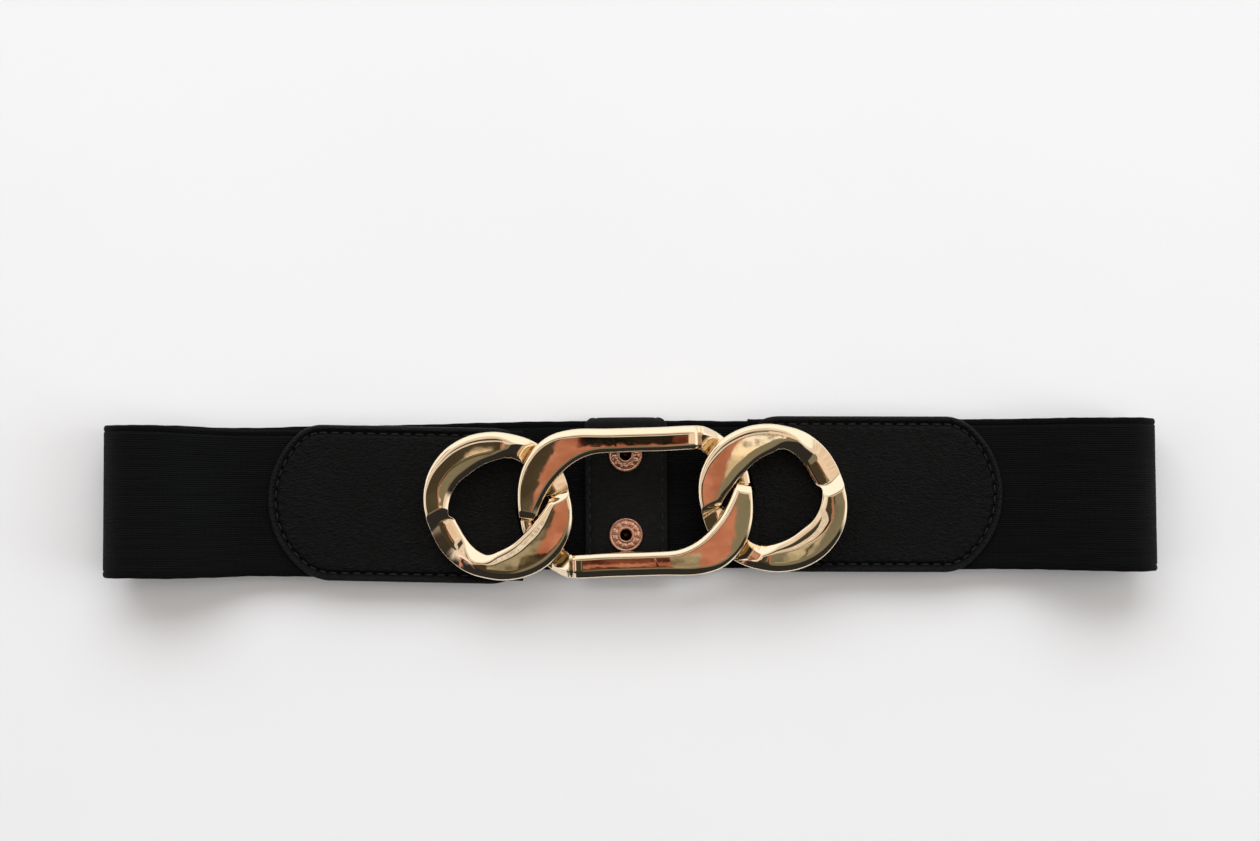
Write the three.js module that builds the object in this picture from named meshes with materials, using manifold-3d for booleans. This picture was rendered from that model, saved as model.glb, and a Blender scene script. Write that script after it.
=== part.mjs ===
// A wide elastic waist belt, closed and lying on its back: an elastic band with leather tabs,
// a buckle of three interlocking curb links, and a leather keeper with two snaps at the back.
// Millimetres, +X to the right, +Y up the front of the belt, +Z out of the front.
import * as THREE from 'three';
import Module from 'manifold-3d';
import { mergeVertices } from 'three/addons/utils/BufferGeometryUtils.js';

const wasm = await Module();
wasm.setup();

const DEGREE = Math.PI / 180;

// Elastic band
const BAND_WIDTH = 49.8;
const BAND_THICK = 1.5;
const BELT_LENGTH = 353.4;
const FOLD_HEIGHT = 24.1;
const GAP = 0.3;

// Leather
const LEATHER_THICK = 1.0;
const TAB_WIDTH = 50.8;
const TAB_REACH = 89.4;
const TAB_END_RADIUS = 30;
const WAIST_GAP = 5.0;

// Hidden bars that carry the tabs
const BAR_RADIUS = 1.2;
const LUG_RADIUS = 1.5;
const LUG_SPREAD = 19.2;
const BAR_FROM_RING = 11.3;
const BAR_PLAY = 1.9;

// Buckle. FACE and NECK: how high the crescents' faces and the low necks between them lie
const FACE = 8.2;
const NECK = 3.4;
const RING_OFFSET = 45.8;
const BUCKLE_X = 1.6;
const BUCKLE_Y = -1.3;
const BUCKLE_TURN = 1.33 * DEGREE;
const OUTER_BEVEL = { wide: 1.9, deep: 1.5 };
const INNER_BEVEL = { wide: 1.2, deep: 1.0 };
const LINK_DOME = 0.35;
const HEEL = 0.7;
const SPANS_PER_ROW = 3;

// The front runs are sewn a little out of line with the back: the turn and the point that it is about
const LEFT_RUN = { turn: -1.5 * DEGREE, about: -156 };
const RIGHT_RUN = { turn: -0.5 * DEGREE, about: 115 };

// Keeper and snaps
const KEEPER_WIDTH = 28.2;
const KEEPER_X = -1.5;
const KEEPER_CORNER = 3.5;
const KEEPER_PROUD = 0.4;
const KEEPER_ROUND = { outside: 1.6, inside: 0.6 };
const SNAP_X = -1.6;
const SNAP_HEIGHTS = { snap_upper: 14.3, snap_lower: -12.9 };
const SNAP = {
  flange: 5.7,
  flangeDeep: 1.0,
  flangeRound: 0.8,
  cap: 5.5,
  capDeep: 1.0,
  capRound: 0.6,
  shank: 2.6,
  hole: 1.95,
  holeDeep: 3.0,
  holeFlare: 0.6,
  chamferDeep: 0.5,
};

// Levels above the table
const backTop = BAND_THICK;
const tabUnder = backTop + WAIST_GAP;
const runLevel = tabUnder + LEATHER_THICK + GAP + BAND_THICK / 2;
const tabTop = runLevel + BAND_THICK / 2 + GAP + LEATHER_THICK;
const buckleBase = tabTop + GAP;
const keeperUnder = SNAP.capDeep + GAP;
const keeperBandLevel = keeperUnder + LEATHER_THICK + GAP + BAND_THICK / 2;
const keeperTop = keeperBandLevel + BAND_THICK / 2 + GAP + LEATHER_THICK;
const barDrop = BAR_RADIUS + GAP - (BAND_THICK / 2 + GAP);
const barLevel = runLevel - barDrop;

// Where each tab's bar lies along the belt
const barReach = RING_OFFSET - BAR_FROM_RING;
const leftBarX = BUCKLE_X - barReach * Math.cos(BUCKLE_TURN);
const rightBarX = BUCKLE_X + barReach * Math.cos(BUCKLE_TURN);

const MATERIALS = {
  elastic: new THREE.MeshStandardMaterial({ color: 0x141415, roughness: 0.9, metalness: 0 }),
  leather: new THREE.MeshStandardMaterial({ color: 0x18181a, roughness: 0.55, metalness: 0 }),
  gold: new THREE.MeshStandardMaterial({ color: 0xd9b679, roughness: 0.12, metalness: 1 }),
  copper: new THREE.MeshStandardMaterial({ color: 0xc98a6c, roughness: 0.25, metalness: 1 }),
};

// Solids and meshes

function toSolid(geometry) {
  const bare = geometry.clone();
  bare.deleteAttribute('normal');
  bare.deleteAttribute('uv');
  const merged = mergeVertices(bare, 1e-5);
  return new wasm.Manifold(new wasm.Mesh({
    numProp: 3,
    vertProperties: new Float32Array(merged.attributes.position.array),
    triVerts: new Uint32Array(merged.index.array),
  }));
}

function toGeometry(solid) {
  const mesh = solid.getMesh();
  const geometry = new THREE.BufferGeometry();
  geometry.setAttribute('position', new THREE.BufferAttribute(mesh.vertProperties, 3));
  geometry.setIndex(new THREE.BufferAttribute(mesh.triVerts, 1));
  geometry.computeVertexNormals();
  return geometry;
}

function named(name, geometry, material) {
  const mesh = new THREE.Mesh(geometry, material);
  mesh.name = name;
  return mesh;
}

function prism(shape, depth, curveSegments) {
  return new THREE.ExtrudeGeometry(shape, { depth, bevelEnabled: false, curveSegments });
}

// A closed outline in the X-Z plane, given depth along Y
function prismAlongY(shape, width) {
  return prism(shape, width, 10).rotateX(Math.PI / 2).translate(0, width / 2, 0);
}

// A closed outline in the X-Y plane, given depth along Z from low to high
function prismAlongZ(shape, low, high) {
  return prism(shape, high - low, 14).translate(0, 0, low);
}

// Elastic band

// The middle line of the band's thickness, from the left tab round the back to the right tab
function bandLine() {
  const stepsPerCurve = 12;
  const foldRadius = (FOLD_HEIGHT - BAND_THICK) / 2;
  const foldX = BELT_LENGTH / 2 - BAND_THICK / 2 - foldRadius;
  const foldTop = FOLD_HEIGHT - BAND_THICK / 2;
  const low = BAND_THICK / 2;
  const bendX = 124;
  const bendHandle = 20;
  const endClearance = 3.6;
  const keeperMargin = 4;
  const keeperHalf = KEEPER_WIDTH / 2 + keeperMargin;
  const rampLength = 15;
  const line = new THREE.Path();
  line.moveTo(leftBarX - endClearance, runLevel);
  line.lineTo(-bendX, runLevel);
  line.bezierCurveTo(-bendX - bendHandle, runLevel, -foldX + bendHandle, foldTop, -foldX, foldTop);
  line.absarc(-foldX, low + foldRadius, foldRadius, Math.PI / 2, Math.PI * 1.5, false);
  const riseEnd = KEEPER_X - keeperHalf;
  const riseStart = riseEnd - rampLength;
  line.lineTo(riseStart, low);
  line.bezierCurveTo(riseStart + rampLength / 2, low, riseEnd - rampLength / 2, keeperBandLevel,
    riseEnd, keeperBandLevel);
  const fallStart = KEEPER_X + keeperHalf;
  const fallEnd = fallStart + rampLength;
  line.lineTo(fallStart, keeperBandLevel);
  line.bezierCurveTo(fallStart + rampLength / 2, keeperBandLevel, fallEnd - rampLength / 2, low,
    fallEnd, low);
  line.lineTo(foldX, low);
  line.absarc(foldX, low + foldRadius, foldRadius, -Math.PI / 2, Math.PI / 2, false);
  line.bezierCurveTo(foldX - bendHandle, foldTop, bendX + bendHandle, runLevel, bendX, runLevel);
  line.lineTo(rightBarX + endClearance, runLevel);
  return line.getPoints(stepsPerCurve);
}

// Both faces of the band: the middle line moved by half the thickness each way
function bandOutline() {
  const line = bandLine();
  const near = [];
  const far = [];
  line.forEach((point, i) => {
    const before = line[Math.max(i - 1, 0)];
    const after = line[Math.min(i + 1, line.length - 1)];
    const along = after.clone().sub(before).normalize();
    const across = new THREE.Vector2(-along.y, along.x).multiplyScalar(BAND_THICK / 2);
    near.push(point.clone().add(across));
    far.push(point.clone().sub(across));
  });
  return new THREE.Shape([...near, ...far.reverse()]);
}

// How far a front run lies off the belt's middle line at a place along the belt
function runOffset(x) {
  if (x < 0) {
    return x > LEFT_RUN.about ? Math.tan(LEFT_RUN.turn) * (x - LEFT_RUN.about) : 0;
  }
  return x < RIGHT_RUN.about ? Math.tan(RIGHT_RUN.turn) * (x - RIGHT_RUN.about) : 0;
}

function elasticBand() {
  const geometry = prismAlongY(bandOutline(), BAND_WIDTH);
  const position = geometry.attributes.position;
  for (let i = 0; i < position.count; i += 1) {
    if (position.getZ(i) > keeperTop) {
      position.setY(i, position.getY(i) + runOffset(position.getX(i)));
    }
  }
  return toGeometry(cutSnapHoles(toSolid(geometry)));
}

// Leather tabs

// Seen from the front: a round outer end, and a tongue round the bar at the origin
function tabOutline(endShift) {
  const half = TAB_WIDTH / 2;
  const tongueHalf = 16;
  const tongueEnd = 6;
  const shoulderX = -3.6;
  const shoulderEnd = -14.5;
  const arcX = TAB_END_RADIUS - TAB_REACH;
  const corner = 2.8;
  const cornerRun = corner + 1.2;
  const shoulder = { near: 0.8, far: 4.4, drop: 2.8 };
  const arcPoint = (y) => arcX - Math.sqrt(TAB_END_RADIUS ** 2 - (y - endShift) ** 2);
  const shape = new THREE.Shape();
  shape.moveTo(tongueEnd, -tongueHalf);
  shape.lineTo(tongueEnd, tongueHalf);
  shape.lineTo(shoulderX, tongueHalf);
  shape.bezierCurveTo(shoulderX - shoulder.near, half - shoulder.drop,
    shoulderX - shoulder.far, half, shoulderEnd, half);
  shape.lineTo(arcPoint(half) + cornerRun, half);
  shape.quadraticCurveTo(arcPoint(half), half, arcPoint(half - corner), half - corner);
  const from = Math.atan2(half - corner - endShift, arcPoint(half - corner) - arcX);
  const to = Math.atan2(-half + corner - endShift, arcPoint(-half + corner) - arcX);
  shape.absarc(arcX, endShift, TAB_END_RADIUS, from, to + Math.PI * 2, false);
  shape.quadraticCurveTo(arcPoint(-half), -half, arcPoint(-half) + cornerRun, -half);
  shape.lineTo(shoulderEnd, -half);
  shape.bezierCurveTo(shoulderX - shoulder.far, -half,
    shoulderX - shoulder.near, shoulder.drop - half, shoulderX, -tongueHalf);
  shape.closePath();
  return shape;
}

// Seen from the edge: one leather folded round the bar, with the band's end between its two walls
function tabSection() {
  const inside = BAND_THICK / 2 + GAP;
  const outside = inside + LEATHER_THICK;
  const loopInside = BAR_RADIUS + GAP;
  const loopOutside = loopInside + LEATHER_THICK;
  const trimmed = 5;
  const farEnd = -TAB_REACH - trimmed;
  const swellStart = -7;
  const swellEnd = -3;
  const shape = new THREE.Shape();
  shape.moveTo(farEnd, outside);
  shape.lineTo(farEnd, inside);
  shape.lineTo(BAR_PLAY, inside);
  shape.absarc(BAR_PLAY, -barDrop, loopInside, Math.PI / 2, -Math.PI / 2, true);
  shape.lineTo(swellEnd, -barDrop - loopInside);
  shape.lineTo(swellStart, -inside);
  shape.lineTo(farEnd, -inside);
  shape.lineTo(farEnd, -outside);
  shape.lineTo(swellStart, -outside);
  shape.lineTo(swellEnd, -barDrop - loopOutside);
  shape.lineTo(BAR_PLAY, -barDrop - loopOutside);
  shape.absarc(BAR_PLAY, -barDrop, loopOutside, -Math.PI / 2, Math.PI / 2, false);
  shape.closePath();
  return shape;
}

function tabGeometry(endShift) {
  const reach = 10;
  const folded = toSolid(prismAlongY(tabSection(), TAB_WIDTH + reach));
  const outline = toSolid(prismAlongZ(tabOutline(endShift), -reach, reach));
  return toGeometry(folded.intersect(outline));
}

// Back keeper

function roundedRectangle(path, halfX, lowY, highY, radius) {
  path.moveTo(-halfX + radius, lowY);
  path.lineTo(halfX - radius, lowY);
  path.absarc(halfX - radius, lowY + radius, radius, -Math.PI / 2, 0, false);
  path.lineTo(halfX, highY - radius);
  path.absarc(halfX - radius, highY - radius, radius, 0, Math.PI / 2, false);
  path.lineTo(-halfX + radius, highY);
  path.absarc(-halfX + radius, highY - radius, radius, Math.PI / 2, Math.PI, false);
  path.lineTo(-halfX, lowY + radius);
  path.absarc(-halfX + radius, lowY + radius, radius, Math.PI, Math.PI * 1.5, false);
  return path;
}

const keeperHalfHigh = BAND_WIDTH / 2 + GAP + LEATHER_THICK + KEEPER_PROUD;

function keeperGeometry() {
  const slotHalf = BAND_WIDTH / 2 + GAP;
  const wrap = roundedRectangle(new THREE.Shape(), keeperHalfHigh,
    keeperUnder, keeperTop, KEEPER_ROUND.outside);
  wrap.holes.push(roundedRectangle(new THREE.Path(), slotHalf,
    keeperUnder + LEATHER_THICK, keeperTop - LEATHER_THICK, KEEPER_ROUND.inside));
  const geometry = prism(wrap, KEEPER_WIDTH, 5);
  const upright = new THREE.Matrix4().makeBasis(
    new THREE.Vector3(0, 1, 0), new THREE.Vector3(0, 0, 1), new THREE.Vector3(1, 0, 0));
  geometry.applyMatrix4(upright).translate(KEEPER_X - KEEPER_WIDTH / 2, 0, 0);
  const outline = roundedRectangle(new THREE.Shape(), KEEPER_WIDTH / 2,
    -keeperHalfHigh, keeperHalfHigh, KEEPER_CORNER);
  const trim = prismAlongZ(outline, 0, keeperTop * 2).translate(KEEPER_X, 0, 0);
  return toGeometry(cutSnapHoles(toSolid(geometry).intersect(toSolid(trim))));
}

// Snaps

const snapTop = keeperTop + GAP + SNAP.flangeDeep;

function cutSnapHoles(solid) {
  const radius = SNAP.shank + GAP;
  const reach = snapTop * 2;
  const sides = 24;
  let cut = solid;
  for (const y of Object.values(SNAP_HEIGHTS)) {
    const drill = new THREE.CylinderGeometry(radius, radius, reach, sides);
    drill.rotateX(Math.PI / 2).translate(SNAP_X, y, 0);
    cut = cut.subtract(toSolid(drill));
  }
  return cut;
}

// A ring on the inner side, a shank through leather and elastic, and a plain cap on the outer side
function snapGeometry() {
  const profile = [
    [0, 0],
    [SNAP.cap - SNAP.capRound, 0],
    [SNAP.cap, SNAP.capRound],
    [SNAP.cap, SNAP.capDeep],
    [SNAP.shank, SNAP.capDeep],
    [SNAP.shank, snapTop - SNAP.flangeDeep],
    [SNAP.flange, snapTop - SNAP.flangeDeep],
    [SNAP.flange, snapTop - SNAP.chamferDeep],
    [SNAP.flange - SNAP.flangeRound, snapTop],
    [SNAP.hole + SNAP.holeFlare, snapTop],
    [SNAP.hole, snapTop - SNAP.chamferDeep],
    [SNAP.hole, snapTop - SNAP.holeDeep],
    [0, snapTop - SNAP.holeDeep],
  ];
  const points = profile.map(([radius, level]) => new THREE.Vector2(radius, level));
  const sides = 28;
  return new THREE.LatheGeometry(points, sides).rotateX(Math.PI / 2);
}

// Curb links

// One end ring, seen from the front. turn: degrees clockwise from the step at the right-hand tip;
// outer, inner: radii; swell: how much further in the lower crescent reaches; top, under: its faces
const RING_ROWS = [
  { turn: 0, outer: 24.4, inner: 16.5, swell: -0.5, top: FACE, under: 2.6 },
  { turn: 9, outer: 24.9, inner: 16.2, swell: 0.6, top: FACE, under: 3.8 },
  { turn: 22, outer: 25.5, inner: 15.8, swell: 1.9, top: FACE, under: 3.8 },
  { turn: 38, outer: 25.9, inner: 15.1, swell: 2.1, top: FACE, under: 3.8 },
  { turn: 56, outer: 25.9, inner: 14.2, swell: 1.6, top: FACE, under: 3.8 },
  { turn: 75, outer: 25.4, inner: 14.4, swell: 1.1, top: FACE, under: 3.8 },
  { turn: 94, outer: 24.8, inner: 15.1, swell: 0.5, top: FACE, under: 3.6 },
  { turn: 110, outer: 24.4, inner: 16.1, swell: -0.3, top: 7.8, under: 2.2 },
  { turn: 121, outer: 24.5, inner: 16.3, swell: 0, top: 5.4, under: 0.6 },
  { turn: 131, outer: 24.5, inner: 15.8, swell: 0, top: NECK, under: 0 },
  { turn: 146, outer: 24.4, inner: 15.0, swell: 0, top: NECK, under: 0 },
  { turn: 162, outer: 24.3, inner: 14.7, swell: 0, top: NECK, under: 0 },
  { turn: 171, outer: 24.2, inner: 15.2, swell: 0, top: 3.9, under: 0 },
  { turn: 176.5, outer: 24.2, inner: 16.2, swell: -0.3, top: 5.4, under: 0.6 },
];
const RING_TIP_ANGLE = 6;

// Half of the middle link, from its upper right-hand step round the left crescent to the lower step.
// outX, outY and inX, inY: the outer and inner edges; top, under: its faces
const MIDDLE_ROWS = [
  { outX: 22.6, outY: 24.75, inX: 22.6, inY: 16.6, top: FACE, under: 2.4 },
  { outX: 8, outY: 24.75, inX: 9, inY: 16.6, top: FACE, under: 2.4 },
  { outX: -8, outY: 24.75, inX: -5, inY: 16.6, top: FACE, under: 2.4 },
  { outX: -20.5, outY: 24.8, inX: -13.5, inY: 16.2, top: FACE, under: 2.8 },
  { outX: -27.8, outY: 23, inX: -18.6, inY: 14.4, top: FACE, under: 3.6 },
  { outX: -33, outY: 19.2, inX: -22.6, inY: 11.7, top: FACE, under: 3.8 },
  { outX: -37, outY: 13.4, inX: -26.2, inY: 8.2, top: FACE, under: 3.8 },
  { outX: -38.9, outY: 7.2, inX: -29, inY: 4.4, top: FACE, under: 3.8 },
  { outX: -39.3, outY: 1.4, inX: -31.2, inY: 0.2, top: FACE, under: 3.8 },
  { outX: -39.1, outY: -2.2, inX: -32.6, inY: -3.2, top: FACE, under: 2.6 },
  { outX: -38.9, outY: -4.9, inX: -33.6, inY: -5.5, top: 4.4, under: 0.4 },
  { outX: -37.9, outY: -9.9, inX: -31, inY: -8.2, top: NECK, under: 0 },
  { outX: -34.4, outY: -16.2, inX: -28.2, inY: -11.2, top: NECK, under: 0 },
  { outX: -29, outY: -21.7, inX: -24.5, inY: -14.9, top: NECK, under: 0 },
  { outX: -25, outY: -24, inX: -23, inY: -16.1, top: 6.4, under: 1 },
];

// A link's cross-section between an outer and an inner edge point
function linkSection(outer, inner, top, under) {
  const across = inner.clone().sub(outer).normalize();
  const wide = outer.distanceTo(inner);
  const at = (reach, level) => new THREE.Vector3(
    outer.x + across.x * reach, outer.y + across.y * reach, level);
  return [
    at(0, under + HEEL),
    at(0, top - OUTER_BEVEL.deep),
    at(OUTER_BEVEL.wide, top - LINK_DOME),
    at((OUTER_BEVEL.wide + wide - INNER_BEVEL.wide) / 2, top),
    at(wide - INNER_BEVEL.wide, top - LINK_DOME),
    at(wide, top - INNER_BEVEL.deep - LINK_DOME),
    at(wide, under + HEEL),
    at(wide - HEEL, under),
    at(HEEL, under),
  ];
}

// Rows of edge points and levels, made smooth along the link and skinned into a closed loop
function linkGeometry(rows) {
  const smooth = (pick) => new THREE.CatmullRomCurve3(rows.map(pick), true, 'centripetal');
  const outer = smooth((row) => new THREE.Vector3(row.outX, row.outY, 0));
  const inner = smooth((row) => new THREE.Vector3(row.inX, row.inY, 0));
  const stations = rows.length * SPANS_PER_ROW;
  const positions = [];
  for (let i = 0; i < stations; i += 1) {
    const place = i / SPANS_PER_ROW;
    const row = rows[Math.floor(place)];
    const next = rows[(Math.floor(place) + 1) % rows.length];
    const part = place - Math.floor(place);
    const a = outer.getPoint(i / stations);
    const b = inner.getPoint(i / stations);
    const top = THREE.MathUtils.lerp(row.top, next.top, part);
    const under = THREE.MathUtils.lerp(row.under, next.under, part);
    const section = linkSection(new THREE.Vector2(a.x, a.y), new THREE.Vector2(b.x, b.y), top, under);
    section.forEach((point) => positions.push(point.x, point.y, point.z));
  }
  const sides = positions.length / 3 / stations;
  const clockwise = THREE.ShapeUtils.area(rows.map((row) => new THREE.Vector2(row.outX, row.outY))) < 0;
  const index = [];
  for (let i = 0; i < stations; i += 1) {
    for (let j = 0; j < sides; j += 1) {
      const a = i * sides + j;
      const b = i * sides + ((j + 1) % sides);
      const c = ((i + 1) % stations) * sides + j;
      const d = ((i + 1) % stations) * sides + ((j + 1) % sides);
      index.push(...(clockwise ? [a, b, c, b, d, c] : [a, c, b, b, c, d]));
    }
  }
  const geometry = new THREE.BufferGeometry();
  geometry.setAttribute('position', new THREE.Float32BufferAttribute(positions, 3));
  geometry.setIndex(index);
  return geometry;
}

function ringRows() {
  const whole = [];
  for (const half of [0, 1]) {
    for (const row of RING_ROWS) {
      const angle = (RING_TIP_ANGLE - row.turn - half * 180) * DEGREE;
      const inner = row.inner - (half === 0 ? row.swell : 0);
      whole.push({
        outX: row.outer * Math.cos(angle),
        outY: row.outer * Math.sin(angle),
        inX: inner * Math.cos(angle),
        inY: inner * Math.sin(angle),
        top: row.top,
        under: row.under,
      });
    }
  }
  return whole;
}

// The bar across the back of a ring, on a lug at each end
function barSolid() {
  const level = barLevel - buckleBase;
  const foot = level - BAR_RADIUS;
  const sides = 14;
  const lugs = [
    { side: -1, top: 4.6 },
    { side: 1, top: 2.3 },
  ];
  const bar = new THREE.CylinderGeometry(BAR_RADIUS, BAR_RADIUS, LUG_SPREAD * 2, sides);
  let solid = toSolid(bar.translate(BAR_FROM_RING, 0, level));
  for (const { side, top } of lugs) {
    const lug = new THREE.CylinderGeometry(LUG_RADIUS, LUG_RADIUS, top - foot, sides);
    lug.rotateX(Math.PI / 2).translate(BAR_FROM_RING, side * LUG_SPREAD, (top + foot) / 2);
    solid = solid.add(toSolid(lug));
  }
  return solid;
}

function ringGeometry() {
  return toGeometry(toSolid(linkGeometry(ringRows())).add(barSolid()));
}

function middleGeometry() {
  const turned = MIDDLE_ROWS.map((row) => ({
    ...row, outX: -row.outX, outY: -row.outY, inX: -row.inX, inY: -row.inY,
  }));
  return toGeometry(toSolid(linkGeometry([...MIDDLE_ROWS, ...turned])));
}

// Assembly

function buckle() {
  const group = new THREE.Group();
  const left = named('ring_left', ringGeometry(), MATERIALS.gold);
  const right = named('ring_right', left.geometry, MATERIALS.gold);
  left.position.x = -RING_OFFSET;
  right.position.x = RING_OFFSET;
  right.rotation.z = Math.PI;
  group.add(left, right, named('link_middle', middleGeometry(), MATERIALS.gold));
  group.position.set(BUCKLE_X, BUCKLE_Y, buckleBase);
  group.rotation.z = BUCKLE_TURN;
  return group;
}

function tab(name, barX, run, flip, endShift) {
  const mesh = named(name, tabGeometry(endShift), MATERIALS.leather);
  mesh.position.set(barX, runOffset(barX), runLevel);
  mesh.rotation.z = run.turn + flip;
  return mesh;
}

function snap(name) {
  const mesh = named(name, snapGeometry(), MATERIALS.copper);
  mesh.position.set(SNAP_X, SNAP_HEIGHTS[name], 0);
  return mesh;
}

const parts = new THREE.Group();
parts.add(named('elastic_band', elasticBand(), MATERIALS.elastic));
parts.add(tab('tab_left', leftBarX, LEFT_RUN, 0, 1.0));
parts.add(tab('tab_right', rightBarX, RIGHT_RUN, Math.PI, 0));
parts.add(named('back_keeper', keeperGeometry(), MATERIALS.leather));
parts.add(snap('snap_upper'), snap('snap_lower'));
parts.add(buckle());

// The origin is the middle of the belt's outline, on the table
const box = new THREE.Box3().setFromObject(parts);
const middle = box.getCenter(new THREE.Vector3());
parts.position.set(-middle.x, -middle.y, -box.min.z);

const belt = new THREE.Group();
belt.add(parts);

export default belt;
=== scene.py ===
# A wide elastic waist belt, closed and lying on its back, seen from above: woven elastic, two
# leather tabs, a buckle of three interlocking curb links, and a leather keeper with two snaps.
# Sizes are millimetres until a mesh is made, in the frame's own axes.
import math

import bmesh
import bpy
import numpy as np
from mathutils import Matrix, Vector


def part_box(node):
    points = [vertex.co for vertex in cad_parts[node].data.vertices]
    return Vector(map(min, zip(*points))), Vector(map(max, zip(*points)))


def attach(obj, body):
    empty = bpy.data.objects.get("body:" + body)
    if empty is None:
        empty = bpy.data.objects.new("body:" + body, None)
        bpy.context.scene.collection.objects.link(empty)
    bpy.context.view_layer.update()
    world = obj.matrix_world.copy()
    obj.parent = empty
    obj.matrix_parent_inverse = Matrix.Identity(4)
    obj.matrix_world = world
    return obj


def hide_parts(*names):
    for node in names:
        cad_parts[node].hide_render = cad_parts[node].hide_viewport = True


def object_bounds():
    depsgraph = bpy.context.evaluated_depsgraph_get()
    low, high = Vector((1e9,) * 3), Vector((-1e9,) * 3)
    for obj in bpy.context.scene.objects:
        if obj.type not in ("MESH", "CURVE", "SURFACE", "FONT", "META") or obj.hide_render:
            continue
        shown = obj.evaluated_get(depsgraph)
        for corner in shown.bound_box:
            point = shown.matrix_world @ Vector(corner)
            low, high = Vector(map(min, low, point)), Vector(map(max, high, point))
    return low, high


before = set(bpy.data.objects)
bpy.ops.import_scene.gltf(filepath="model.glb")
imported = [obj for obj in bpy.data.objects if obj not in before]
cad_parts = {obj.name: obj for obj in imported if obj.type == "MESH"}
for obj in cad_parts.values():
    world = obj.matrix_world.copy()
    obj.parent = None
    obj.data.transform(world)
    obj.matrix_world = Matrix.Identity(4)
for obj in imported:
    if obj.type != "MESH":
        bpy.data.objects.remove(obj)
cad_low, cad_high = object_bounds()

MM = 0.001


def node_box(name):
    low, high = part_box(name)
    return np.array(low) / MM, np.array(high) / MM


# Places taken from the frame

keeper_low, keeper_high = node_box("back_keeper")
middle_low, middle_high = node_box("link_middle")
KEEPER_CENTRE = (keeper_low + keeper_high) / 2
BUCKLE_CENTRE = (middle_low + middle_high) / 2
BUCKLE_BASE = middle_low[2]
BELT_LENGTH = (cad_high[0] - cad_low[0]) / MM
FOLD_HEIGHT = node_box("elastic_band")[1][2]
KEEPER_WIDTH = keeper_high[0] - keeper_low[0]

# Elastic
BAND_WIDTH = 49.8
BAND_THICK = 1.5
SELVEDGE = 1.9
GAP = 0.3

# Leather
LEATHER_THICK = 1.0
TAB_WIDTH = 52.5
TAB_RAISED = 0.25
TAB_REACH = 89.4
TAB_END_RADIUS = 30.0
TAB_END_SHIFT = {"tab_left": 1.0, "tab_right": 0.0}
STITCH_PITCH = 4.05
STITCH_INSET = 2.65
STITCH_SUNK = 0.6

# Bars that carry the tabs
BAR_RADIUS = 1.2
LUG_RADIUS = 1.5
LUG_SPREAD = 19.2
LUG_TOPS = {-1: 4.6, 1: 2.3}
BAR_FROM_RING = 11.3
BAR_PLAY = 1.9

# Buckle
RING_OFFSET = 45.8
BUCKLE_TURN = math.radians(1.33)

# Levels above the table
TAB_TOP = BUCKLE_BASE - GAP
RUN_LEVEL = TAB_TOP - LEATHER_THICK - GAP - BAND_THICK / 2
KEEPER_TOP = keeper_high[2]
KEEPER_UNDER = keeper_low[2]
KEEPER_BAND_LEVEL = KEEPER_UNDER + LEATHER_THICK + GAP + BAND_THICK / 2
BAR_DROP = BAR_RADIUS + GAP - (BAND_THICK / 2 + GAP)
BAR_LEVEL = RUN_LEVEL - BAR_DROP

# The front runs are sewn a little out of line with the back: the turn, and where it starts
LEFT_RUN = {"turn": math.radians(-1.5), "about": -156.0}
RIGHT_RUN = {"turn": math.radians(-0.5), "about": 115.0}


def run_offset(x):
    """How far a front run lies to one side of the back's middle line at x."""
    left, right = (math.tan(run["turn"]) * (x - run["about"]) for run in (LEFT_RUN, RIGHT_RUN))
    left = np.where(x > LEFT_RUN["about"], left, 0)
    right = np.where(x < RIGHT_RUN["about"], right, 0)
    return np.where(x < 0, left, right)


bar_reach = (RING_OFFSET - BAR_FROM_RING) * math.cos(BUCKLE_TURN)
BAR_X = {"tab_left": BUCKLE_CENTRE[0] - bar_reach, "tab_right": BUCKLE_CENTRE[0] + bar_reach}


# Numbers and curves

def turned(points, angle):
    cos, sin = math.cos(angle), math.sin(angle)
    out = np.array(points, float)
    out[..., 0] = points[..., 0] * cos - points[..., 1] * sin
    out[..., 1] = points[..., 0] * sin + points[..., 1] * cos
    return out


def directions_of(steps):
    return steps / np.linalg.norm(steps, axis=1, keepdims=True)


def smooth_step(value, low, high):
    t = np.clip((value - low) / (high - low), 0, 1)
    return t * t * (3 - 2 * t)


def table(names, *rows):
    """One dictionary for each row of values, with the names as its keys."""
    return [dict(zip(names.split(), row)) for row in rows]


def column(rows, name):
    return np.array([row[name] for row in rows], float)


def smooth_curve(places, keys, values):
    """A smooth curve through the values that doesn't overshoot them."""
    step = np.diff(keys)
    slope = np.diff(values) / step
    before, after = slope[:-1], slope[1:]
    rate = np.zeros(len(keys))
    rate[1:-1] = np.where(before * after > 0, 2 * before * after / (before + after + 1e-12), 0)
    i = np.clip(np.searchsorted(keys, places) - 1, 0, len(step) - 1)
    t = np.clip((places - keys[i]) / step[i], 0, 1)
    return (values[i] * (1 + 2 * t) * (1 - t) ** 2 + values[i + 1] * t * t * (3 - 2 * t)
            + step[i] * t * (1 - t) * (rate[i] * (1 - t) - rate[i + 1] * t))


def line_points(a, b, step=0.8):
    count = max(2, int(math.dist(a, b) / step))
    t = np.linspace(0, 1, count, endpoint=False)[:, None]
    return np.array(a) + (np.array(b) - np.array(a)) * t


def quadratic_points(a, b, c, count=14):
    t = np.linspace(0, 1, count, endpoint=False)[:, None]
    return np.array(a) * (1 - t) ** 2 + 2 * np.array(b) * t * (1 - t) + np.array(c) * t ** 2


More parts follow.
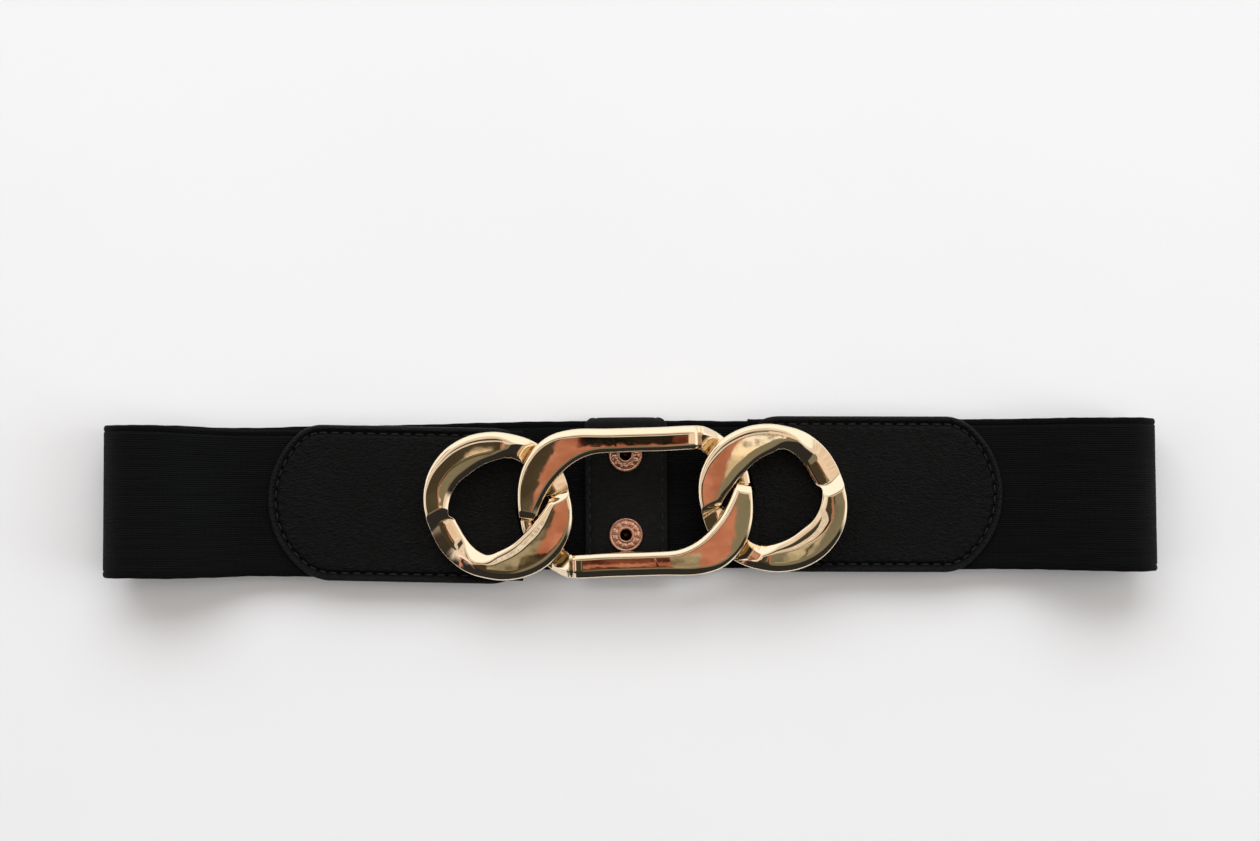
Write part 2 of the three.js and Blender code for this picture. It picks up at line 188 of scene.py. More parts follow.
def bezier_points(a, b, c, d, count=48):
    t = np.linspace(0, 1, count, endpoint=False)[:, None]
    a, b, c, d = (np.array(p, float) for p in (a, b, c, d))
    return a * (1 - t) ** 3 + 3 * b * t * (1 - t) ** 2 + 3 * c * t * t * (1 - t) + d * t ** 3


def arc_points(centre, radius, start, end, count=48):
    angle = np.linspace(start, end, count, endpoint=False)
    return np.array(centre) + radius * np.stack([np.cos(angle), np.sin(angle)], axis=1)


def resampled(line, step):
    """The line at even steps, and how far along it each point lies."""
    steps = np.linalg.norm(np.diff(line, axis=0), axis=1)
    length = np.concatenate([[0], np.cumsum(steps)])
    places = np.linspace(0, length[-1], int(length[-1] / step) + 1)
    out = np.stack([np.interp(places, length, line[:, k]) for k in range(line.shape[1])], axis=1)
    return out, places


# Meshes

def grid_faces(rows, columns, close_rows=False, close_columns=False):
    row_starts = np.arange(rows if close_rows else rows - 1)
    column_starts = np.arange(columns if close_columns else columns - 1)
    r, c = np.meshgrid(row_starts, column_starts, indexing="ij")
    after_r, after_c = (r + 1) % rows, (c + 1) % columns
    corners = (r * columns + c, r * columns + after_c,
               after_r * columns + after_c, after_r * columns + c)
    return np.stack(corners, axis=-1).reshape(-1, 4)


class Shell:
    """Points and faces gathered for one mesh."""

    def __init__(self):
        self.points = []
        self.marks = []
        self.faces = []
        self.count = 0

    def add(self, points, faces, marks=(0.0, 0.0, 0.0)):
        """marks: three numbers a point, kept for the material as the attribute "lie"."""
        points = np.asarray(points, float).reshape(-1, 3)
        start = self.count
        self.points.append(points)
        self.marks.append(np.broadcast_to(np.reshape(marks, (-1, 3)), points.shape))
        self.faces += [tuple(int(i) + start for i in face) for face in faces]
        self.count += len(points)
        return start

    def join(self, a, b):
        """Faces between two rows of points, given by their numbers."""
        self.faces += zip(a, a[1:], b[1:], b)

    def move(self, angle, shift):
        self.points = [turned(points, angle) + shift for points in self.points]

    def add_tube(self, points, marks=(0.0, 0.0, 0.0)):
        """Rings of points with faces between them, closed at both ends by one face each."""
        rows, columns = points.shape[:2]
        first = self.add(points, grid_faces(rows, columns, close_columns=True), marks)
        for row in (0, rows - 1):
            self.faces.append(tuple(first + row * columns + i for i in range(columns)))


def put_in_scene(name, data):
    thing = bpy.data.objects.new(name, data)
    bpy.context.scene.collection.objects.link(thing)
    return thing


def make_piece(name, shell, material, replaced=(), weld=0.002):
    """The mesh object of one piece, in metres, riding on the belt."""
    mesh = bpy.data.meshes.new(name)
    mesh.from_pydata(np.concatenate(shell.points) * MM, [], shell.faces)
    layer = mesh.attributes.new("lie", "FLOAT_VECTOR", "POINT")
    layer.data.foreach_set("vector", np.concatenate(shell.marks).astype(np.float32).ravel())
    work = bmesh.new()
    work.from_mesh(mesh)
    bmesh.ops.remove_doubles(work, verts=work.verts, dist=weld * MM)
    bmesh.ops.recalc_face_normals(work, faces=work.faces)
    work.to_mesh(mesh)
    work.free()
    mesh.shade_smooth()
    mesh.materials.append(material)
    piece = put_in_scene(name, mesh)
    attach(piece, "root")
    if replaced:
        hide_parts(*replaced)
    return piece


# Materials

class Nodes:
    """Short calls that add shader nodes to a tree. Their values are numbers or sockets."""

    def __init__(self, tree):
        self.tree = tree
        tree.nodes.clear()

    def put(self, socket, value):
        if isinstance(value, bpy.types.NodeSocket):
            self.tree.links.new(value, socket)
        else:
            socket.default_value = value

    def add(self, kind, inputs=None, **settings):
        node = self.tree.nodes.new(kind)
        for name, value in settings.items():
            setattr(node, name, value)
        for key, value in (inputs or {}).items():
            self.put(node.inputs[key], value)
        return node

    def math(self, operation, a, b=0.0):
        return self.add("ShaderNodeMath", {0: a, 1: b}, operation=operation).outputs[0]

    def plus(self, a, b):
        return self.math("ADD", a, b)

    def minus(self, a, b):
        return self.math("SUBTRACT", a, b)

    def times(self, *factors):
        product = factors[0]
        for factor in factors[1:]:
            product = self.math("MULTIPLY", product, factor)
        return product

    def over(self, a, b):
        return self.math("DIVIDE", a, b)

    def size(self, a):
        return self.math("ABSOLUTE", a)

    def rise(self, value, low, high, start=0.0, end=1.0):
        inputs = {"Value": value, "From Min": low, "From Max": high, "To Min": start, "To Max": end}
        node = self.add("ShaderNodeMapRange", inputs, interpolation_type="SMOOTHSTEP")
        return node.outputs["Result"]

    def fall(self, value, low, high):
        return self.rise(value, low, high, 1.0, 0.0)

    def mix(self, factor, a, b):
        node = self.add("ShaderNodeMix", data_type="RGBA")
        for socket, value in zip((node.inputs[0], node.inputs[6], node.inputs[7]), (factor, a, b)):
            self.put(socket, value)
        return node.outputs[2]

    def stretched(self, vector, factors):
        inputs = {0: vector, 1: factors}
        return self.add("ShaderNodeVectorMath", inputs, operation="MULTIPLY").outputs[0]

    def split(self, vector):
        return self.add("ShaderNodeSeparateXYZ", {"Vector": vector}).outputs

    def noise(self, vector, scale, detail=2.0, roughness=0.5):
        inputs = {"Vector": vector, "Scale": scale, "Detail": detail, "Roughness": roughness}
        return self.add("ShaderNodeTexNoise", inputs).outputs["Fac"]

    def bump(self, height, distance, normal=None):
        inputs = {"Height": height, "Distance": distance, "Strength": 1.0}
        if normal is not None:
            inputs["Normal"] = normal
        return self.add("ShaderNodeBump", inputs).outputs["Normal"]

    def place(self):
        return self.add("ShaderNodeTexCoord").outputs["Object"]

    def lie(self):
        return self.add("ShaderNodeAttribute", attribute_name="lie").outputs["Vector"]


def colour(red, green, blue):
    return (red, green, blue, 1.0)


def grey(level):
    return colour(level, level, level)


def new_material(name):
    material = bpy.data.materials.new(name)
    material.use_nodes = True
    return material, Nodes(material.node_tree)


def close_material(nodes, inputs):
    shader = nodes.add("ShaderNodeBsdfPrincipled", inputs)
    nodes.add("ShaderNodeOutputMaterial", {"Surface": shader.outputs["BSDF"]})


def gold_material():
    """Polished pale gold plate with a faint swirl of cast unevenness."""
    material, nodes = new_material("polished_gold")
    place = nodes.place()
    patches = nodes.noise(place, 90.0, 3.0)
    scuffs = nodes.noise(nodes.stretched(place, (900.0, 2600.0, 900.0)), 1.0, 3.0)
    swell = nodes.bump(nodes.noise(place, 130.0), 0.000008)
    close_material(nodes, {
        "Base Color": nodes.mix(patches, colour(0.94, 0.80, 0.59), colour(0.90, 0.74, 0.52)),
        "Metallic": 1.0, "Roughness": nodes.rise(scuffs, 0.5, 0.8, 0.015, 0.04),
        "Normal": nodes.bump(scuffs, 0.0000002, swell)})
    return material


def copper_material(rim_level):
    """Rose copper, with painted shade that darkens it down in the hole. rim_level: the ring's
    top above the table.
    """
    material, nodes = new_material("rose_copper")
    place = nodes.place()
    patches = nodes.noise(place, 700.0, 4.0)
    copper_tone = nodes.mix(patches, colour(0.92, 0.56, 0.42), colour(0.6, 0.29, 0.2))
    # Painted shade: below the ring's rim the copper turns a near black brown, down in the hole
    clear_of_hole_shade = nodes.rise(nodes.split(place)["Z"], (rim_level - 0.85) * MM, (rim_level - 0.2) * MM)
    close_material(nodes, {
        "Base Color": nodes.mix(clear_of_hole_shade, colour(0.07, 0.022, 0.014), copper_tone), "Metallic": 1.0,
        "Roughness": nodes.rise(patches, 0.3, 0.7, 0.16, 0.34),
        "Normal": nodes.bump(nodes.noise(place, 1400.0), 0.00003)})
    return material


# Half the length and width of a needle's hole in the leather
NEEDLE_HOLE = (0.5, 0.42)


def leather_material(name, grain_depth, shade):
    """Black leather: small pebbled grain with fine creases that run along the belt, their hollows
    painted darker as shade. The mesh's marks say where its rim gets a painted highlight, and
    where its sewn channel and the needle's holes get painted shade."""
    material, nodes = new_material(name)
    place = nodes.place()
    warp = nodes.add("ShaderNodeTexNoise", {"Vector": place, "Scale": 260.0, "Detail": 2.0})
    shift = nodes.stretched(warp.outputs["Color"], (0.0015, 0.0015, 0.0015))
    shifted = nodes.add("ShaderNodeVectorMath", {0: place, 1: shift}, operation="ADD").outputs[0]
    cells = nodes.add("ShaderNodeTexVoronoi", {
        "Vector": nodes.stretched(shifted, (0.6, 1.0, 1.0)), "Scale": 1050.0},
        feature="DISTANCE_TO_EDGE")
    pebbles = nodes.rise(cells.outputs["Distance"], 0.0, 0.25)
    creases = nodes.noise(nodes.stretched(shifted, (0.42, 1.0, 1.0)), 1250.0, 3.0, 0.6)
    broad = nodes.noise(place, 70.0, 3.0)
    height = nodes.plus(nodes.times(pebbles, 0.4), nodes.times(creases, 1.3))
    # Painted shade: the creases' hollows are darker. The broad noise varies the tone at random
    lit = nodes.times(nodes.rise(creases, 0.35, 0.65, 0.3, 1.0),
                      nodes.rise(broad, 0.3, 0.7, 0.6, 1.0))
    tint = nodes.mix(lit, colour(shade * 0.55, shade * 0.58, shade * 0.62),
                     colour(shade * 1.3, shade * 1.37, shade * 1.45))
    stitch, inset, sewn = nodes.split(nodes.lie())
    # Painted highlight along the rim: lighter in rope-like bands, with a bright line at the very
    # edge
    rope = nodes.math("SINE", nodes.plus(nodes.times(stitch, 4.4 * math.pi),
                                         nodes.times(inset, 3.0)))
    rim = nodes.times(nodes.fall(inset, 1.0, 1.5), nodes.rise(rope, -1.0, 1.0, 0.25, 0.8))
    rim = nodes.plus(rim, nodes.rise(inset, 0.25, 0.5, 0.8, 0.0))
    # Painted shade down in the sewn channel
    channel = nodes.times(nodes.rise(inset, 1.6, 2.1), nodes.fall(inset, 2.9, 3.4))
    # Painted shade in the needle's holes: a soft spot round each one
    to_hole = nodes.size(nodes.minus(nodes.math("FRACT", nodes.plus(stitch, 0.5)), 0.5))
    along = nodes.times(to_hole, STITCH_PITCH / NEEDLE_HOLE[0])
    off = nodes.over(nodes.minus(inset, STITCH_INSET), NEEDLE_HOLE[1])
    apart = nodes.plus(nodes.times(along, along), nodes.times(off, off))
    hole = nodes.times(nodes.fall(apart, 0.6, 1.1), sewn)
    # The rim's painted highlight and the channel's painted shade go into the colour
    tint = nodes.mix(nodes.times(rim, sewn), tint, colour(shade * 2.6, shade * 2.75, shade * 2.9))
    tint = nodes.mix(nodes.times(channel, sewn, 0.45), tint, grey(shade * 0.1))
    rough = nodes.plus(nodes.rise(creases, 0.3, 0.7, 0.6, 0.42), nodes.times(hole, 0.4))
    # The needle's holes are painted near black here, as shade
    close_material(nodes, {
        "Base Color": nodes.mix(hole, tint, grey(0.0001)), "Roughness": rough,
        "Specular IOR Level": 0.14,
        "Normal": nodes.bump(broad, 0.0001, nodes.bump(height, grain_depth))})
    return material


# The webbing's weave: how far apart its cords and its weft threads lie
CORD_PITCH = 0.72
WEFT_PITCH = 0.78


def elastic_material():
    """Matt black webbing: warp cords along the band, crossed by finer weft, with welted edges.
    The cords' crests get a painted highlight, and so does a line inside each welted edge.
    """
    material, nodes = new_material("black_elastic")
    lie = nodes.lie()
    along, across, _ = nodes.split(lie)
    cords, weft = (nodes.size(nodes.math("SINE", nodes.times(place, math.pi / pitch)))
                   for place, pitch in ((across, CORD_PITCH), (along, WEFT_PITCH)))
    uneven = nodes.noise(nodes.stretched(lie, (0.05, 1.4, 1.0)), 1.0, 3.0)
    fuzz = nodes.noise(lie, 4.0, 3.0)
    weave = nodes.times(cords, nodes.rise(weft, 0.0, 0.8, 0.45, 1.0))
    height = nodes.plus(weave, nodes.times(fuzz, 0.5))
    streaks = nodes.rise(uneven, 0.35, 0.65, 0.7, 1.15)
    # Painted highlight: the weave's crests are lighter. The streaks and the welts' knots vary the
    # tone at random
    painted_light_and_tone = nodes.times(nodes.rise(weave, 0.1, 0.9, 0.35, 1.0), streaks)
    from_middle = nodes.size(across)
    welt_start = BAND_WIDTH / 2 - SELVEDGE
    welt = nodes.rise(from_middle, welt_start - 0.2, welt_start)
    knots = nodes.rise(nodes.noise(lie, 2.2), 0.35, 0.65, 0.1, 0.9)
    painted_light_and_tone = nodes.plus(nodes.times(painted_light_and_tone, nodes.minus(1.0, welt)), nodes.times(knots, welt, 0.75))
    # A painted highlight line runs just inside each welted edge, along the groove's lip
    from_painted_highlight_line = nodes.size(nodes.minus(from_middle, welt_start - 0.55))
    painted_light_and_tone = nodes.plus(painted_light_and_tone, nodes.rise(from_painted_highlight_line, 0.1, 0.3, 0.55, 0.0))
    close_material(nodes, {
        "Base Color": nodes.mix(painted_light_and_tone, colour(0.001, 0.00105, 0.0011),
                                colour(0.0054, 0.0057, 0.006)),
        "Roughness": 0.82, "Specular IOR Level": 0.05,
        "Sheen Weight": 0.02, "Sheen Roughness": 0.5, "Normal": nodes.bump(height, 0.0002)})
    return material


def thread_material():
    material, nodes = new_material("black_thread")
    twist = nodes.noise(nodes.stretched(nodes.place(), (5200.0, 2600.0, 2600.0)), 1.0)
    close_material(nodes, {
        "Base Color": nodes.mix(twist, colour(0.009, 0.0092, 0.0096),
                                colour(0.026, 0.0265, 0.0275)),
        "Roughness": 0.6, "Specular IOR Level": 0.2, "Normal": nodes.bump(twist, 0.00008)})
    return material


def table_material():
    material, nodes = new_material("pale_table")
    place = nodes.place()
    mottle = nodes.noise(place, 6.0, 4.0)
    fine = nodes.noise(place, 420.0)
    close_material(nodes, {
        "Base Color": nodes.mix(mottle, colour(0.79, 0.79, 0.80), colour(0.83, 0.83, 0.835)),
        "Roughness": 0.7, "Specular IOR Level": 0.2, "Normal": nodes.bump(fine, 0.00002)})
    return material


GOLD = gold_material()
COPPER = copper_material(node_box("snap_upper")[1][2])
PANEL_LEATHER = leather_material("tab_leather", 0.0003, 0.0031)
SMOOTH_LEATHER = leather_material("keeper_leather", 0.00012, 0.0052)
ELASTIC = elastic_material()
THREAD = thread_material()


# Elastic band

def band_line():
    """The middle of the band's thickness, as X and Z, from the left tab round the back to the
    right one."""
    radius = (FOLD_HEIGHT - BAND_THICK) / 2
    fold_x = BELT_LENGTH / 2 - BAND_THICK / 2 - radius
    fold_top = FOLD_HEIGHT - BAND_THICK / 2
    low, high = BAND_THICK / 2, KEEPER_BAND_LEVEL
    bend_x, handle, end_clearance = 124.0, 20.0, 3.6
    keeper_half, ramp = KEEPER_WIDTH / 2 + 4.0, 15.0
    start = BAR_X["tab_left"] - end_clearance
    end = BAR_X["tab_right"] + end_clearance
    rise_end = KEEPER_CENTRE[0] - keeper_half
    fall_start = KEEPER_CENTRE[0] + keeper_half
    return np.concatenate([
        line_points((start, RUN_LEVEL), (-bend_x, RUN_LEVEL)),
        bezier_points((-bend_x, RUN_LEVEL), (-bend_x - handle, RUN_LEVEL),
                      (-fold_x + handle, fold_top), (-fold_x, fold_top)),
        arc_points((-fold_x, low + radius), radius, math.pi / 2, math.pi * 1.5),
        line_points((-fold_x, low), (rise_end - ramp, low)),
        bezier_points((rise_end - ramp, low), (rise_end - ramp / 2, low),
                      (rise_end - ramp / 2, high), (rise_end, high)),
        line_points((rise_end, high), (fall_start, high)),
        bezier_points((fall_start, high), (fall_start + ramp / 2, high),
                      (fall_start + ramp / 2, low), (fall_start + ramp, low)),
        line_points((fall_start + ramp, low), (fold_x, low)),
        arc_points((fold_x, low + radius), radius, -math.pi / 2, math.pi / 2),
        bezier_points((fold_x, fold_top), (fold_x - handle, fold_top),
                      (bend_x + handle, RUN_LEVEL), (bend_x, RUN_LEVEL)),
        line_points((bend_x, RUN_LEVEL), (end, RUN_LEVEL)),
        [(end, RUN_LEVEL)]])


# Half of the webbing's cross-section. across: from the middle to the selvedge's tip; half: half
# the thickness there
WEBBING_SECTION = table(
    "across half",
    (0.0, 0.7), (5.5, 0.71), (11.0, 0.7), (16.5, 0.72), (20.5, 0.72), (22.3, 0.73), (22.65, 0.66),
    (22.9, 0.42), (23.15, 0.62), (23.6, 0.76), (24.1, 0.74), (24.5, 0.6), (24.78, 0.36),
    (24.9, 0.0))


def webbing_profile():
    """Closed loop of (across, off the middle line): the outer face one way, the inner face back."""
    across = column(WEBBING_SECTION, "across")
    fine = np.unique(np.concatenate([np.arange(0, 22.0, 1.1), across]))
    thick = np.interp(fine, across, column(WEBBING_SECTION, "half"))
    right = np.stack([fine, thick], axis=1)
    outer = np.concatenate([right[:0:-1] * (-1, 1), right])
    inner = outer[-2:0:-1] * (1, -1)
    return np.concatenate([outer, inner])


# The webbing's edges, which stretch has left uneven: how far beyond its width each one reaches
BAND_EDGES = table(
    "x upper lower",
    (-179.0, 0.25, 0.66), (-174.0, 0.5, 0.45), (-167.0, 0.6, 0.26), (-155.0, 0.24, 0.49),
    (-147.0, -0.21, 0.62), (-138.0, -0.6, 0.58), (-130.0, -0.7, 0.36), (-119.5, -0.52, 0.14),
    (-110.0, -0.3, 0.1), (-75.0, 0.0, 0.0), (-55.0, 0.45, 0.0), (-22.0, 0.9, 0.0),
    (18.0, 0.87, 0.0), (35.0, 0.6, 0.0), (100.0, 0.65, 0.2), (126.0, 0.7, 0.24),
    (140.0, 0.82, 0.24), (148.0, 1.0, -0.05), (160.0, 1.0, 0.02), (168.0, 0.95, 0.12),
    (174.0, 0.75, 0.38), (179.0, 0.3, 0.8))
# How far each fold's upper and lower corner stands in or out along the belt
FOLD_LEANS = {-1: (0.4, -0.3), 1: (-0.9, -0.3)}
FOLD_SPAN = (150, 176)
# The selvedges' ripple along the band, as waves: height, length and phase
RIPPLES = ((0.05, 3.1, 0.0), (0.04, 1.27, 1.0))
BAND_STEP = 1.05


def elastic_piece():
    line, places = resampled(band_line(), BAND_STEP)
    middle_x = line[:, 0]
    along = directions_of(np.gradient(line, axis=0))
    across, off = webbing_profile().T
    x = middle_x[:, None] + along[:, 1, None] * off
    z = line[:, 1, None] - along[:, 0, None] * off
    in_front = smooth_step(line[:, 1], KEEPER_TOP, KEEPER_TOP + 1.0)
    shift = KEEPER_CENTRE[1] + run_offset(middle_x) * in_front
    ripple = sum(high * np.sin(places / long + phase) for high, long, phase in RIPPLES)
    edge = smooth_step(np.abs(across), BAND_WIDTH / 2 - SELVEDGE, BAND_WIDTH / 2)
    share = np.clip(across / (BAND_WIDTH / 2), -1, 1)
    upper, lower = (smooth_curve(middle_x, column(BAND_EDGES, "x"), column(BAND_EDGES, name))
                    for name in ("upper", "lower"))
    reach = upper[:, None] * np.clip(share, 0, 1) + lower[:, None] * np.clip(share, -1, 0)
    y = shift[:, None] + across + reach + np.sign(across) * edge * ripple[:, None]
    for side, (above, below) in FOLD_LEANS.items():
        near = smooth_step(side * middle_x, *FOLD_SPAN)[:, None]
        x = x + near * ((above + below) / 2 + (above - below) / 2 * share)
    zero = np.zeros_like(x)
    shell = Shell()
    shell.add_tube(np.stack([x, y, z], axis=-1),
                   np.stack([places[:, None] + zero, across + zero, zero], axis=-1))
    piece = make_piece("elastic_webbing", shell, ELASTIC, ["elastic_band"], weld=0.0)
    return piece


# Curb links

# Half an end ring. turn: degrees clockwise from the step at the right-hand tip; outer, inner:
# radii; swell: how much further in the lower crescent reaches; under: the underside's level
RING_ROWS = table(
    "turn outer inner swell under",
    (0, 24.4, 16.5, -0.5, 2.6),
    (9, 24.9, 16.2, 0.6, 3.8),
    (22, 25.5, 15.8, 1.9, 3.8),
    (38, 25.9, 15.1, 2.1, 3.8),
    (56, 25.9, 14.2, 1.6, 3.8),
    (75, 25.4, 14.4, 1.1, 3.8),
    (94, 24.8, 15.1, 0.5, 3.6),
    (110, 24.4, 16.1, -0.3, 2.2),
    (121, 24.5, 16.3, 0, 0.6),
    (131, 24.5, 15.8, 0, 0),
    (146, 24.4, 15.0, 0, 0),
    (162, 24.3, 14.7, 0, 0),
    (171, 24.2, 15.2, 0, 0),
    (176.5, 24.2, 16.2, -0.3, 0.6))
RING_TIP_ANGLE = 6.0

# The ring's top along each half: a crescent, its long fall, and the neck. top: the face's level;
# lean: how much of the neck's inward fall it has; out_wide to in_deep: width and depth of the
# bevels; out_roll, in_roll: how softly the face rolls into them, the inner one for the second
# half alone; step_wide: a shallow facet inside the inner bevel, for the first half alone
RING_SECTIONS = table(
    "turn top out_wide out_deep in_wide in_deep lean out_roll in_roll step_wide",
    (-14, 8.2, 0.9, 0.75, 1.7, 1.4, 0, 0.45, 0.45, 0),
    (10, 8.2, 0.95, 0.8, 1.7, 1.4, 0, 0.45, 1.6, 0.6),
    (30, 8.2, 1.2, 1.0, 1.5, 1.2, 0, 0.6, 3.2, 1.7),
    (50, 8.2, 1.6, 1.3, 1.5, 1.2, 0, 1.0, 3.2, 1.9),
    (86, 8.2, 1.9, 1.5, 1.8, 1.4, 0, 1.2, 1.2, 1.6),
    (95, 8.2, 2.1, 1.6, 2.4, 1.9, 0, 0.9, 0.8, 0.9),
    (105, 7.9, 2.8, 1.9, 3.3, 2.6, 0.1, 0.6, 0.45, 0),
    (110, 7.4, 3.3, 2.0, 3.7, 2.7, 0.2, 0.45, 0.45, 0),
    (115, 6.6, 3.9, 2.0, 3.6, 2.5, 0.4, 0.45, 0.45, 0),
    (120, 5.7, 4.2, 1.8, 3.0, 2.2, 0.6, 0.45, 0.45, 0),
    (125, 4.8, 4.4, 1.5, 2.4, 1.8, 0.8, 0.45, 0.45, 0),
    (130, 4.0, 4.5, 1.25, 2.0, 1.5, 1, 0.45, 0.45, 0),
    (136, 3.6, 4.5, 1.15, 1.8, 1.4, 1, 0.45, 0.45, 0),
    (166, 3.6, 4.5, 1.15, 1.7, 1.4, 1, 0.45, 0.45, 0))
LINK_TOP = RING_SECTIONS[0]["top"]
RING_NECK = RING_SECTIONS[-1]
# How steeply a neck's middle facet falls inwards
NECK_LEAN = 0.13
# Degrees by which each half's long fall comes later than the table says, and the turns between
# which that sets in
RING_LATE = (12.0, 5.0)
LATE_SPAN = (60, 95)
# How much higher than the table the first half's neck is: it is free, and the second half's
# passes under a link
FAR_NECK_RAISED = 1.7

# The sloping end of each crescent. Where its face begins, at the outer and the inner edge, is a
# turn for the rings and a row number for the middle link; far_length: that of the free neck's
NOSE = {"slope": 0.86, "length": 2.3, "far_length": 9.0, "drop_slope": 4.0, "blend": 0.2}
RING_NOSE = {"outer": -1.5, "inner": 8.0}
MIDDLE_NOSE = {"outer": 8.85, "inner": 8.98}
# From this turn on a place belongs to the nose of the next half, which reaches to the second turn
RING_NOSE_SPAN = (158, 20)

# Half of the middle link, from its upper right-hand step round the left crescent to the lower step
MIDDLE_ROWS = table(
    "outX outY inX inY under",
    (22.6, 24.75, 22.6, 16.6, 2.4),
    (8, 24.75, 9, 16.6, 2.4),
    (-8, 24.75, -5, 16.6, 2.4),
    (-20.5, 24.8, -13.5, 16.2, 2.8),
    (-27.8, 23, -18.6, 14.4, 3.6),
    (-33, 19.2, -22.6, 11.7, 3.8),
    (-37, 13.4, -26.2, 8.2, 3.8),
    (-38.9, 7.2, -29, 4.4, 3.8),
    (-39.3, 1.4, -31.2, 0.2, 3.8),
    (-39.1, -2.2, -32.6, -3.2, 2.6),
    (-38.9, -4.9, -33.6, -5.5, 0.4),
    (-37.9, -9.9, -31, -8.2, 0),
    (-34.4, -16.2, -28.2, -11.2, 0),
    (-29, -21.7, -24.5, -14.9, 0),
    (-25, -24, -23, -16.1, 1))

# The middle link's top along each half. place: the row number
MIDDLE_SECTIONS = table(
    "place top out_wide out_deep in_wide in_deep lean",
    (0, 8.2, 2.3, 1.7, 1.4, 1.2, 0),
    (3, 8.2, 2.2, 1.7, 1.4, 1.2, 0),
    (4, 8.2, 1.7, 1.35, 1.4, 1.2, 0),
    (5, 8.2, 1.3, 1.1, 1.4, 1.2, 0),
    (7.6, 8.2, 0.95, 0.8, 1.6, 1.3, 0),
    (8.8, 8.2, 0.9, 0.75, 1.8, 1.5, 0),
    (11, 8.2, 0.9, 0.75, 1.8, 1.5, 0))
MIDDLE_NECK = {"top": 3.5, "out_wide": 1.3, "out_deep": 0.8, "in_wide": 1.6, "in_deep": 1.3,
               "lean": 0}
# By row numbers: the bar's far end lies before the first, the crescent's nose after the second
# and the next bar's rise after the third
MIDDLE_PARTS = {"bar_end": 2, "nose": 7.5, "rise": 12}
# Rows where the levels change steeply, so that the sections stand closer
RING_BUSY = (0.0,)
MIDDLE_BUSY = (0.1, 9.4)

# The bars' far ends: a plain rise out of the neck, a collar, a groove and the bar's rolled end.
# Places are distances from the buckle's middle
BAR_END = {
    "rise_from": 22.9, "rise_slope": 0.62, "collar_top": 7.8, "collar_roll": 0.5,
    "groove": 22.0, "lip": 1.3, "lip_slope": 0.62, "wall": 0.65, "wall_slope": 5.0,
    "groove_deep": 1.5, "roll": 2.6, "roll_deep": 0.3, "blend": 0.12, "floor_blend": 0.1,
    "crescent_blend": 0.02,
    "bevel": {"out_wide": 2.3, "out_deep": 1.7, "in_wide": 1.4, "in_deep": 1.2, "lean": 0}}

# Where one link passes under another it stays below the other's underside, and rises clear of it.
# tuck: its highest level there; rises: how steeply it may rise beside the other link's edge;
# ring_turns: where a ring does so, and from where it is let go; nose_rows: where the middle
# link's crescent begins to
PASSING = {"tuck": 3.45, "clear": 0.3, "ring_rise": 0.7, "bar_rise": 0.78, "nose_rise": 6.0,
           "ring_reach": 25.9, "ring_turns": (250, 342, 352), "nose_rows": (9.1, 9.3),
           "blend": 0.3, "nose_blend": 0.2}
# Added to such a limit where it doesn't hold
NO_LIMIT = 10

# A link's sections stand this far apart, and closer together within near_to rows of a busy place
STATIONS = {"step": 0.3, "closer": 2.6, "near_to": 0.9, "far_from": 1.6}
# Its section: the top is sampled evenly across, and upper corners and underside are rounded
TOP_SAMPLES = 46
CORNER = {"wide": 0.45, "deep": 0.6, "steps": 7}
HEEL = {"size": 0.7, "middle": 0.2}
LEAST_SIDE = 0.1
CREASE = 0.45
STEP_SLOPE = 0.2
STEP_CREASE = 0.06
CROWN = 0.006


def smooth_loop(rows, places):
    """A closed centripetal Catmull-Rom curve through rows, at fractional row numbers."""
    count = len(rows)
    before = np.floor(places).astype(int)
    w = (places - before)[:, None]
    p0, p1, p2, p3 = (rows[(before + k) % count] for k in (-1, 0, 1, 2))
    d0, d1, d2 = (np.sqrt(np.linalg.norm(b - a, axis=1, keepdims=True))
                  for a, b in ((p0, p1), (p1, p2), (p2, p3)))
    m1 = ((p1 - p0) / d0 - (p2 - p0) / (d0 + d1) + (p2 - p1) / d1) * d1
    m2 = ((p2 - p1) / d1 - (p3 - p1) / (d1 + d2) + (p3 - p2) / d2) * d1
    return (p1 + m1 * w + (3 * (p2 - p1) - 2 * m1 - m2) * w ** 2
            + (2 * (p1 - p2) + m1 + m2) * w ** 3)


def stations(outer_rows, inner_rows, half, busy):
    """Where a link's sections stand: row numbers within a half, edges and underside's levels.
    half: the table of one half; busy: its row numbers near which more sections are wanted."""
    count = len(outer_rows)
    dense = np.arange(0, count, 0.01)
    middle = (smooth_loop(outer_rows, dense) + smooth_loop(inner_rows, dense)) / 2
    steps = np.linalg.norm(np.roll(middle, -1, axis=0) - middle, axis=1)
    ahead = np.abs(dense[:, None] - np.array([row + k * len(half) for k in (0, 1) for row in busy]))
    nearest = np.minimum(ahead, count - ahead).min(axis=1)
    closer = np.interp(nearest, (STATIONS["near_to"], STATIONS["far_from"]),
                       (STATIONS["closer"], 1.0))
    length = np.concatenate([[0], np.cumsum(steps * closer)])
    sections = int(length[-1] / STATIONS["step"])
    places = np.interp(np.arange(sections) * length[-1] / sections, length,
                       np.append(dense, count))
    unders = column(half, "under")
    under = np.interp(places % len(half), np.arange(len(half) + 1), np.append(unders, unders[0]))
    outer, inner = smooth_loop(outer_rows, places), smooth_loop(inner_rows, places)
    return places % len(half), outer, inner, under


def soft_min(a, b, blend=CREASE):
    """The lower of two levels, with the crease between them rounded."""
    near = np.clip(blend - np.abs(a - b), 0, None) / blend
    return np.minimum(a, b) - near * near * blend / 4


def soft_max(a, b, blend=CREASE):
    return -soft_min(-a, -b, blend)


